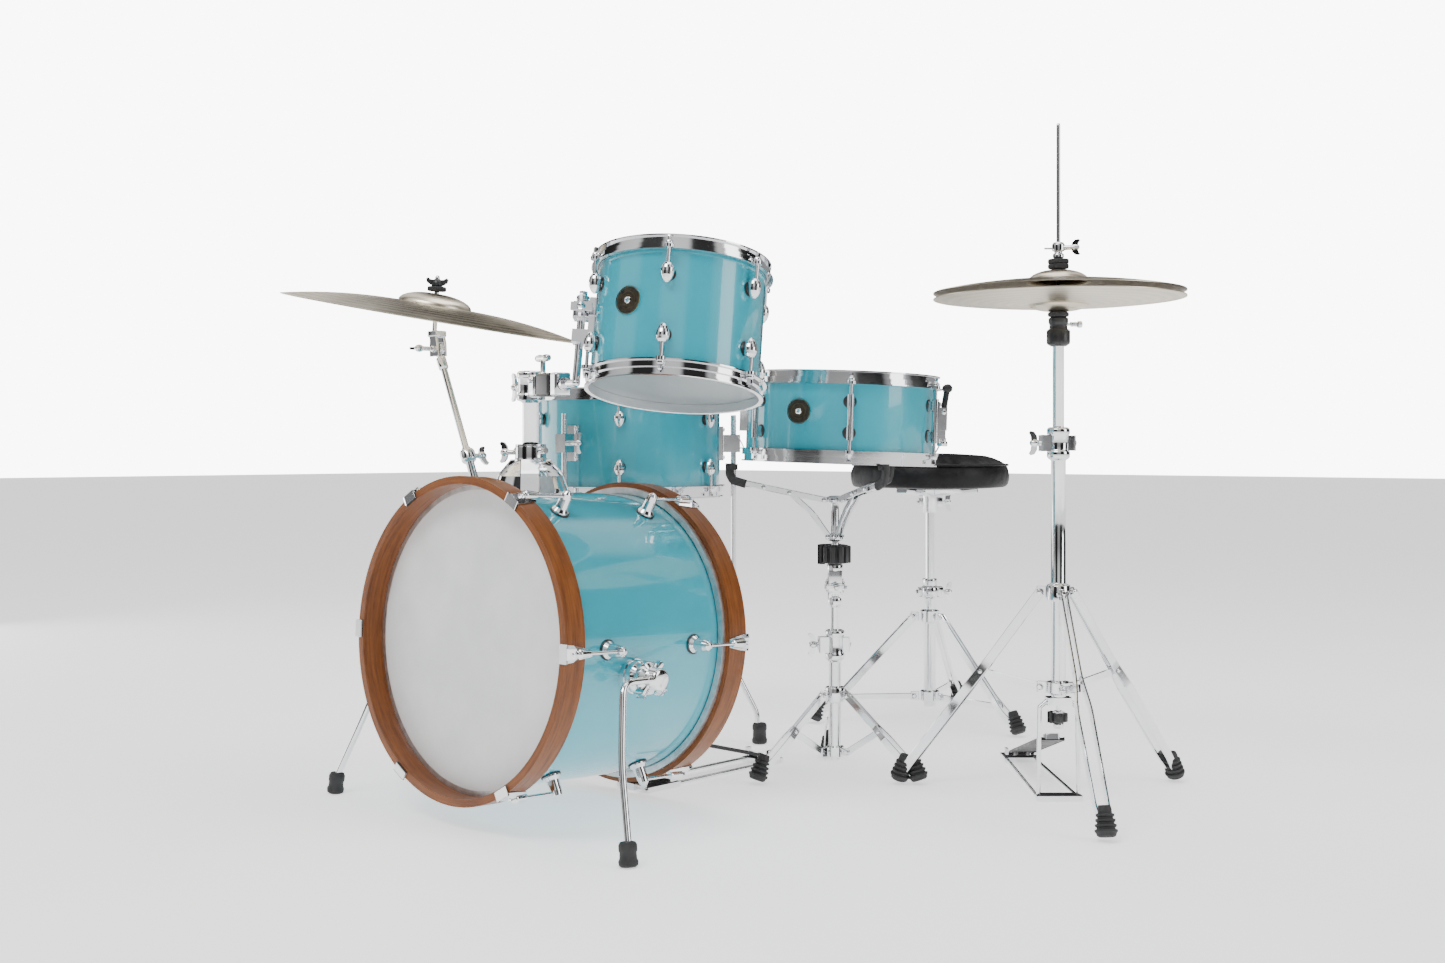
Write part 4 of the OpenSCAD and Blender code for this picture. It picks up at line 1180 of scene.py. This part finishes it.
def hat_heel(bm):
    d = polar(132.5, 1000)
    for r, l, w in ((336, 45, 63), (0, 23, 73)):
        add_block(bm, (l, w, 2.2), at(*HAT, 8.4) + d * r / 1000, frame_of(UP, d), 0.9)


piece("hat_base_tread", hat_heel, BLACK_METAL, "kit", "black_metal")


def link_chain(bm, a, b, n, wide, lateral):
    a, b = Vector(a), Vector(b)
    for i in range(n):
        p = a.lerp(b, (i + 0.5) / n)
        d = (b - a).normalized()
        for s in (-1, 1):
            off = lateral * s * (wide / 2 + (0.9 if i % 2 else 0)) / 1000
            add_ribbon(bm, [p - d * (b - a).length / n * 0.62 + off,
                            p + d * (b - a).length / n * 0.62 + off], 5.6, 0.9,
                       lateral, 0.3)
        for t in (-0.5, 0.5):
            q = p + d * (b - a).length / n * t
            add_tube(bm, [q - lateral * 0.0046, q + lateral * 0.0046], 1.9, 12)


X = Vector((1, 0, 0))


def kick_chain(bm):
    link_chain(bm, at(0, 409, 99), at(0, 409, 178), 9, 5, X)


piece("kick_chain", kick_chain, BRUSHED, "kick_chain", "chrome", ["kick_chain"])
AXLE = Vector(JOINTS["kick_beater_swing"]["pos_m"])


def beater_metal(bm):
    out = Vector((0, 97, 139)).normalized()
    add_tube(bm, [AXLE - X * 0.036, AXLE + X * 0.036], 3.6, 18)
    add_lathe(bm, rounded([(11, -7), (26, -7), (27, -6), (27, -4.4), (24.5, -3.5), (24.5, 3.5), (27, 4.4),
                           (27, 6), (26, 7),
                           (11, 7)], 0.5), AXLE, X, 64, closed=True)
    add_turned(bm, [(12, -10), (12.5, -8), (12.5, 8), (12, 10)], AXLE, X, 32)
    add_tube(bm, [AXLE, AXLE + out * 0.176], 3.4, 16)
    add_block(bm, (16, 14, 16), AXLE + out * 0.014, frame_of(out, X), 3)


HEAD = AXLE + Vector((0, 0.0975, 0.1295))
NORMAL = Vector((0, 41, -29)).normalized()


def beater_felt(bm):
    add_lathe(bm, rounded([(0, -25), (14, -25), (22, -22.5), (24, -17), (24, -3), (22, 0), (0, 0)], 1.5),
              HEAD, NORMAL, 48)


def beater_back(bm):
    add_lathe(bm, rounded([(0, 0), (23, 0.2), (24, 3), (24, 18), (21, 23), (13, 25), (0, 25)], 1.5), HEAD,
              NORMAL, 48)


piece("kick_beater", beater_metal, CHROME, "kick_beater", "chrome", ["kick_beater"])
piece("kick_beater_felt", beater_felt, CREAM_FELT, "kick_beater", "felt")
piece("kick_beater_back", beater_back, PLASTIC, "kick_beater", "black_metal")


def kick_spring(bm):
    a = at(41, 440, 172)
    b = at(41, 436, 60)
    spring_at(bm, a - UP * 0.018, b, 5.2, 1.0, 16)
    add_tube(bm, [at(36, 440, 175), at(41, 440, 173), at(41, 440, 152)], 1.8, 12)
    add_tube(bm, [at(33, 436, 40), at(41, 436, 44), at(41, 436, 62)], 1.8, 12)


piece("kick_spring", kick_spring, BRUSHED, "kit", "chrome")


def frame_caps(bm):
    for s in (-1, 1):
        add_lathe(bm, rounded([(3.9, 0), (8, 0), (9, 2), (7, 4), (3.9, 4)], 0.6), AXLE + X * s * 0.0348,
                  X * s, 28, closed=True)
        add_block(bm, (9, 17, 14), at(s * 30, 440, 13), None, 2.5)
    add_wing(bm, at(26, 372, 12), (1, 0, 0), UP, 16, 10, 3.5)


piece("kick_frame_trim", frame_caps, CHROME, "kit", "chrome")


# ---- snare strainer ----
def strain_point(x, y, z):
    m = frame_of(SNARE_AXIS, (1, 0, 0))
    c = math.cos(math.radians(43.5))
    s = math.sin(math.radians(43.5))
    return SNARE_C + m @ (Vector(((165 + x) * c - y * s, (165 + x) * s + y * c, z)) / 1000)


def strainer(bm):
    out = (strain_point(20, 0, 0) - strain_point(0, 0, 0)).normalized()
    tang = SNARE_AXIS.cross(out)
    for s in (-1, 1):
        for t in (-1, 1):
            add_turned(bm, [(3.6, 0), (3.6, 2.2), (2, 3)], strain_point(8, 11 * s, 31 * t), out, 12)
    add_turned(bm, [(4, 0), (4, 10), (9, 11), (9.5, 13), (9.5, 19), (8.5, 20)], strain_point(16, 0, -22),
             -SNARE_AXIS, 28)
    add_turned(bm, [(2.6, -17), (2.6, 17)], strain_point(15, 0, 18), tang, 16)
    for s in (-1, 1):
        add_turned(bm, [(5, 0), (5, 2.2), (3, 3)], strain_point(15, 16 * s, 18), tang * s, 6)


piece("strainer_trim", strainer, CHROME, "snare", "chrome")


def lever(bm):
    out = (strain_point(20, 0, 0) - strain_point(0, 0, 0)).normalized()
    tang = SNARE_AXIS.cross(out)
    add_ribbon(bm, [strain_point(16, 0, 10), strain_point(17, 0, 22), strain_point(19, 0, 40),
                    strain_point(22, 0, 60)],
               9, 17, tang, 2.5)
    add_turned(bm, [(6.5, -12), (8, -10), (8, 10), (6.5, 12)], strain_point(22, 0, 60), tang, 32, by=1.4)


piece("strainer_lever", lever, PLASTIC, "snare_lever", "black_metal", ["snare_lever"])


def strap_ends(bm):
    for s, a in ((1, 0), (-1, 0)):
        for t in (-4, 4):
            m = frame_of(SNARE_AXIS, (1, 0, 0))
            d = m @ polar(43.5, 1000) * s
            tt = SNARE_AXIS.cross(d)
            p = SNARE_C + tt * t / 1000
            add_tube(bm, [p + d * 0.13 - SNARE_AXIS * 0.0668, p + d * 0.160 - SNARE_AXIS * 0.0662,
                          p + d * 0.169 - SNARE_AXIS * 0.055,
                          p + d * 0.179 - SNARE_AXIS * 0.036], 0.9, 8)


piece("snare_straps", strap_ends, CREAM_FELT, "snare", "felt")


# ---- padded seat ----
SEAT_LO, SEAT_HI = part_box("throne_seat")
SEAT_C = (SEAT_LO + SEAT_HI) / 2
SEAT_R = (SEAT_HI.x - SEAT_LO.x) / 2
SEAT_H = SEAT_HI.z - SEAT_LO.z


def cushion():
    bm = bmesh.new()
    r = SEAT_R * 1000
    h = SEAT_H * 1000
    prof = [(0, 1)]
    prof += [(r * f, 1) for f in (0.2, 0.4, 0.6, 0.8, 0.92)]
    prof += [(r - 5, 3), (r - 2, 8), (r - 0.5, 18), (r - 0.5, 32), (r - 3, 44), (r - 9, 52), (r - 18, 57)]
    prof += [(r * f, h - 12 + 11 * (1 - f * f)) for f in (0.8, 0.65, 0.5, 0.35, 0.2, 0.1)]
    prof += [(0, h - 1)]
    add_lathe(bm, prof, Vector((SEAT_C.x, SEAT_C.y, SEAT_LO.z)), UP, 96)
    for v in bm.verts:
        d = v.co - SEAT_C
        a = math.atan2(d.y, d.x)
        v.co += Vector((d.x, d.y, 0)) * 0.0025 * math.sin(5 * a + 1.1) + UP * 0.0008 * math.sin(3 * a + 0.4)
    me = bpy.data.meshes.new("seat_cushion")
    bmesh.ops.recalc_face_normals(bm, faces=bm.faces)
    bm.to_mesh(me)
    bm.free()
    o = bpy.data.objects.new("seat_cushion", me)
    bpy.context.scene.collection.objects.link(o)
    bpy.context.view_layer.objects.active = o
    o.select_set(True)
    rm = o.modifiers.new("remesh", "REMESH")
    rm.mode = "VOXEL"
    rm.voxel_size = 0.005
    bpy.ops.object.modifier_apply(modifier="remesh")
    for p in o.data.polygons:
        p.use_smooth = True
    return o


def puff(o):
    """Cloth pressure round a pinned lower edge, so the vinyl sits with faint pulls over the foam."""
    g = o.vertex_groups.new(name="pin")
    low = SEAT_LO.z + 0.014
    seam = SEAT_LO.z + SEAT_H * 0.62
    for v in o.data.vertices:
        w = 1.0 if v.co.z < low else (0.65 if abs(v.co.z - seam) < 0.003 and (v.co - SEAT_C).xy.length > SEAT_R * 0.86 else 0.0)
        if w:
            g.add([v.index], w, "REPLACE")
    rest = [v.co.copy() for v in o.data.vertices]
    c = o.modifiers.new("cloth", "CLOTH")
    c.settings.quality = 5
    c.settings.mass = 0.4
    c.settings.tension_stiffness = 30
    c.settings.compression_stiffness = 30
    c.settings.bending_stiffness = 2.0
    c.settings.use_pressure = True
    c.settings.uniform_pressure_force = 4.0
    c.settings.vertex_group_mass = "pin"
    c.settings.shrink_min = -0.01
    c.settings.effector_weights.gravity = 0
    c.collision_settings.use_collision = False
    scene = bpy.context.scene
    scene.frame_start, scene.frame_end = 1, 20
    c.point_cache.frame_start, c.point_cache.frame_end = 1, 20
    for f in range(1, 21):
        scene.frame_set(f)
    dg = bpy.context.evaluated_depsgraph_get()
    moved = [v.co.copy() for v in o.evaluated_get(dg).data.vertices]
    o.modifiers.remove(c)
    scene.frame_set(1)
    cap = 0.004
    for v, a, b in zip(o.data.vertices, rest, moved):
        d = b - a
        if d.length > cap:
            d = d.normalized() * cap
        v.co = a + d


seat = cushion()
puff(seat)
sm = seat.modifiers.new("smooth", "SMOOTH")
sm.factor = 0.5
sm.iterations = 3
sub = seat.modifiers.new("subsurf", "SUBSURF")
sub.levels = sub.render_levels = 1
seat.data.materials.clear()
seat.data.materials.append(vinyl())
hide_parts("throne_seat")
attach(seat, "throne_seat")


def piping(bm):
    n = 120
    rr = SEAT_R - 0.0035
    z = SEAT_LO.z + SEAT_H * 0.70
    pts = []
    for i in range(n):
        a = 2 * math.pi * i / n
        pts.append(Vector((SEAT_C.x + rr * math.cos(a), SEAT_C.y + rr * math.sin(a), z)))
    rings = []
    for i, p in enumerate(pts):
        d = Vector((math.cos(2 * math.pi * i / n), math.sin(2 * math.pi * i / n), 0))
        rings.append([bm.verts.new(p + (d * math.cos(t) + UP * math.sin(t)) * 0.0026)
                      for t in (2 * math.pi * k / 10 for k in range(10))])
    for i in range(n):
        u, v = rings[i], rings[(i + 1) % n]
        for k in range(10):
            j = (k + 1) % 10
            bm.faces.new((u[k], u[j], v[j], v[k]))


piece("seat_piping", piping, vinyl(), "throne_seat", "vinyl")

# ---- stage ----
floor_bm = bmesh.new()
bmesh.ops.create_grid(floor_bm, x_segments=2, y_segments=2, size=30)
floor_me = bpy.data.meshes.new("floor")
floor_bm.to_mesh(floor_me)
floor_bm.free()
floor = bpy.data.objects.new("floor", floor_me)
bpy.context.scene.collection.objects.link(floor)
FLOOR_M = plain("floor_paper", (0.86, 0.86, 0.86), (0.9, 0.9, 0.9), 2, (0.75, 0.9), bump=0.02)
floor_me.materials.append(FLOOR_M)
glow = FLOOR_M.node_tree.nodes["Principled BSDF"]
glow.inputs["Emission Color"].default_value = (1, 1, 1, 1)
glow.inputs["Emission Strength"].default_value = 0.9

world = bpy.data.worlds.new("studio")
bpy.context.scene.world = world
world.use_nodes = True
sky = world.node_tree


def sky_node(kind, **props):
    n = sky.nodes.new(kind)
    for k, v in props.items():
        setattr(n, k, v)
    return n


# Reflections see a studio: dark near the horizon, bright panels above. The backdrop itself is white paper.
where = sky_node("ShaderNodeTexCoord")
split = sky_node("ShaderNodeSeparateXYZ")
sky.links.new(where.outputs["Generated"], split.inputs[0])
ramp = sky_node("ShaderNodeValToRGB")
stops = [(0.0, 0.55), (0.44, 0.5), (0.48, 0.3), (0.6, 0.25), (0.66, 0.55), (0.8, 0.9), (1.0, 1.0)]
while len(ramp.color_ramp.elements) < len(stops):
    ramp.color_ramp.elements.new(0.5)
for e, (pos, v) in zip(ramp.color_ramp.elements, stops):
    e.position = pos
    e.color = (v, v, v, 1)
half = sky_node("ShaderNodeMapRange")
half.inputs["From Min"].default_value = -1
half.inputs["From Max"].default_value = 1
sky.links.new(split.outputs["Z"], half.inputs["Value"])
sky.links.new(half.outputs["Result"], ramp.inputs["Fac"])
fill = sky.nodes["Background"]
fill.inputs["Strength"].default_value = 0.8
# Tall dark flats stand between the panels, so upright tubes show dark and bright stripes.
turn = sky_node("ShaderNodeMath", operation="ARCTAN2")
sky.links.new(split.outputs["Y"], turn.inputs[0])
sky.links.new(split.outputs["X"], turn.inputs[1])
times = sky_node("ShaderNodeMath", operation="MULTIPLY")
times.inputs[1].default_value = 5.0
sky.links.new(turn.outputs[0], times.inputs[0])
wave = sky_node("ShaderNodeMath", operation="SINE")
sky.links.new(times.outputs[0], wave.inputs[0])
flats = sky_node("ShaderNodeMapRange")
flats.inputs["From Min"].default_value = -0.35
flats.inputs["From Max"].default_value = 0.25
flats.inputs["To Min"].default_value = 0.06
flats.inputs["To Max"].default_value = 1.5
sky.links.new(wave.outputs[0], flats.inputs["Value"])
panels = sky_node("ShaderNodeVectorMath", operation="SCALE")
sky.links.new(ramp.outputs["Color"], panels.inputs[0])
sky.links.new(flats.outputs["Result"], panels.inputs["Scale"])
sky.links.new(panels.outputs[0], fill.inputs["Color"])
backdrop = sky_node("ShaderNodeBackground")
backdrop.inputs["Color"].default_value = (1, 1, 1, 1)
backdrop.inputs["Strength"].default_value = 9.0
path = sky_node("ShaderNodeLightPath")
both = sky_node("ShaderNodeMixShader")
sky.links.new(path.outputs["Is Camera Ray"], both.inputs[0])
sky.links.new(fill.outputs[0], both.inputs[1])
sky.links.new(backdrop.outputs[0], both.inputs[2])
sky.links.new(both.outputs[0], sky.nodes["World Output"].inputs["Surface"])


def lamp(name, where, target, size, power, size_y=None):
    d = bpy.data.lights.new(name, "AREA")
    d.shape = "RECTANGLE"
    d.size = size
    d.size_y = size_y or size
    d.energy = power
    o = bpy.data.objects.new(name, d)
    bpy.context.scene.collection.objects.link(o)
    o.location = where
    o.rotation_euler = (Vector(target) - Vector(where)).to_track_quat("-Z", "Y").to_euler()
    return o


lamp("key", (0.4, -3.0, 3.6), (0, 0, 0.5), 2.2, 90, 1.2)
lamp("top", (0.2, 0.2, 3.6), (0, 0, 0.4), 3.0, 60, 2.0)
lamp("side", (4.2, 1.2, 1.8), (0, 0, 0.5), 1.6, 50, 2.4)
lamp("left", (-3.2, -1.0, 0.5), (-0.3, 0, 0.8), 2.0, 35, 1.6)
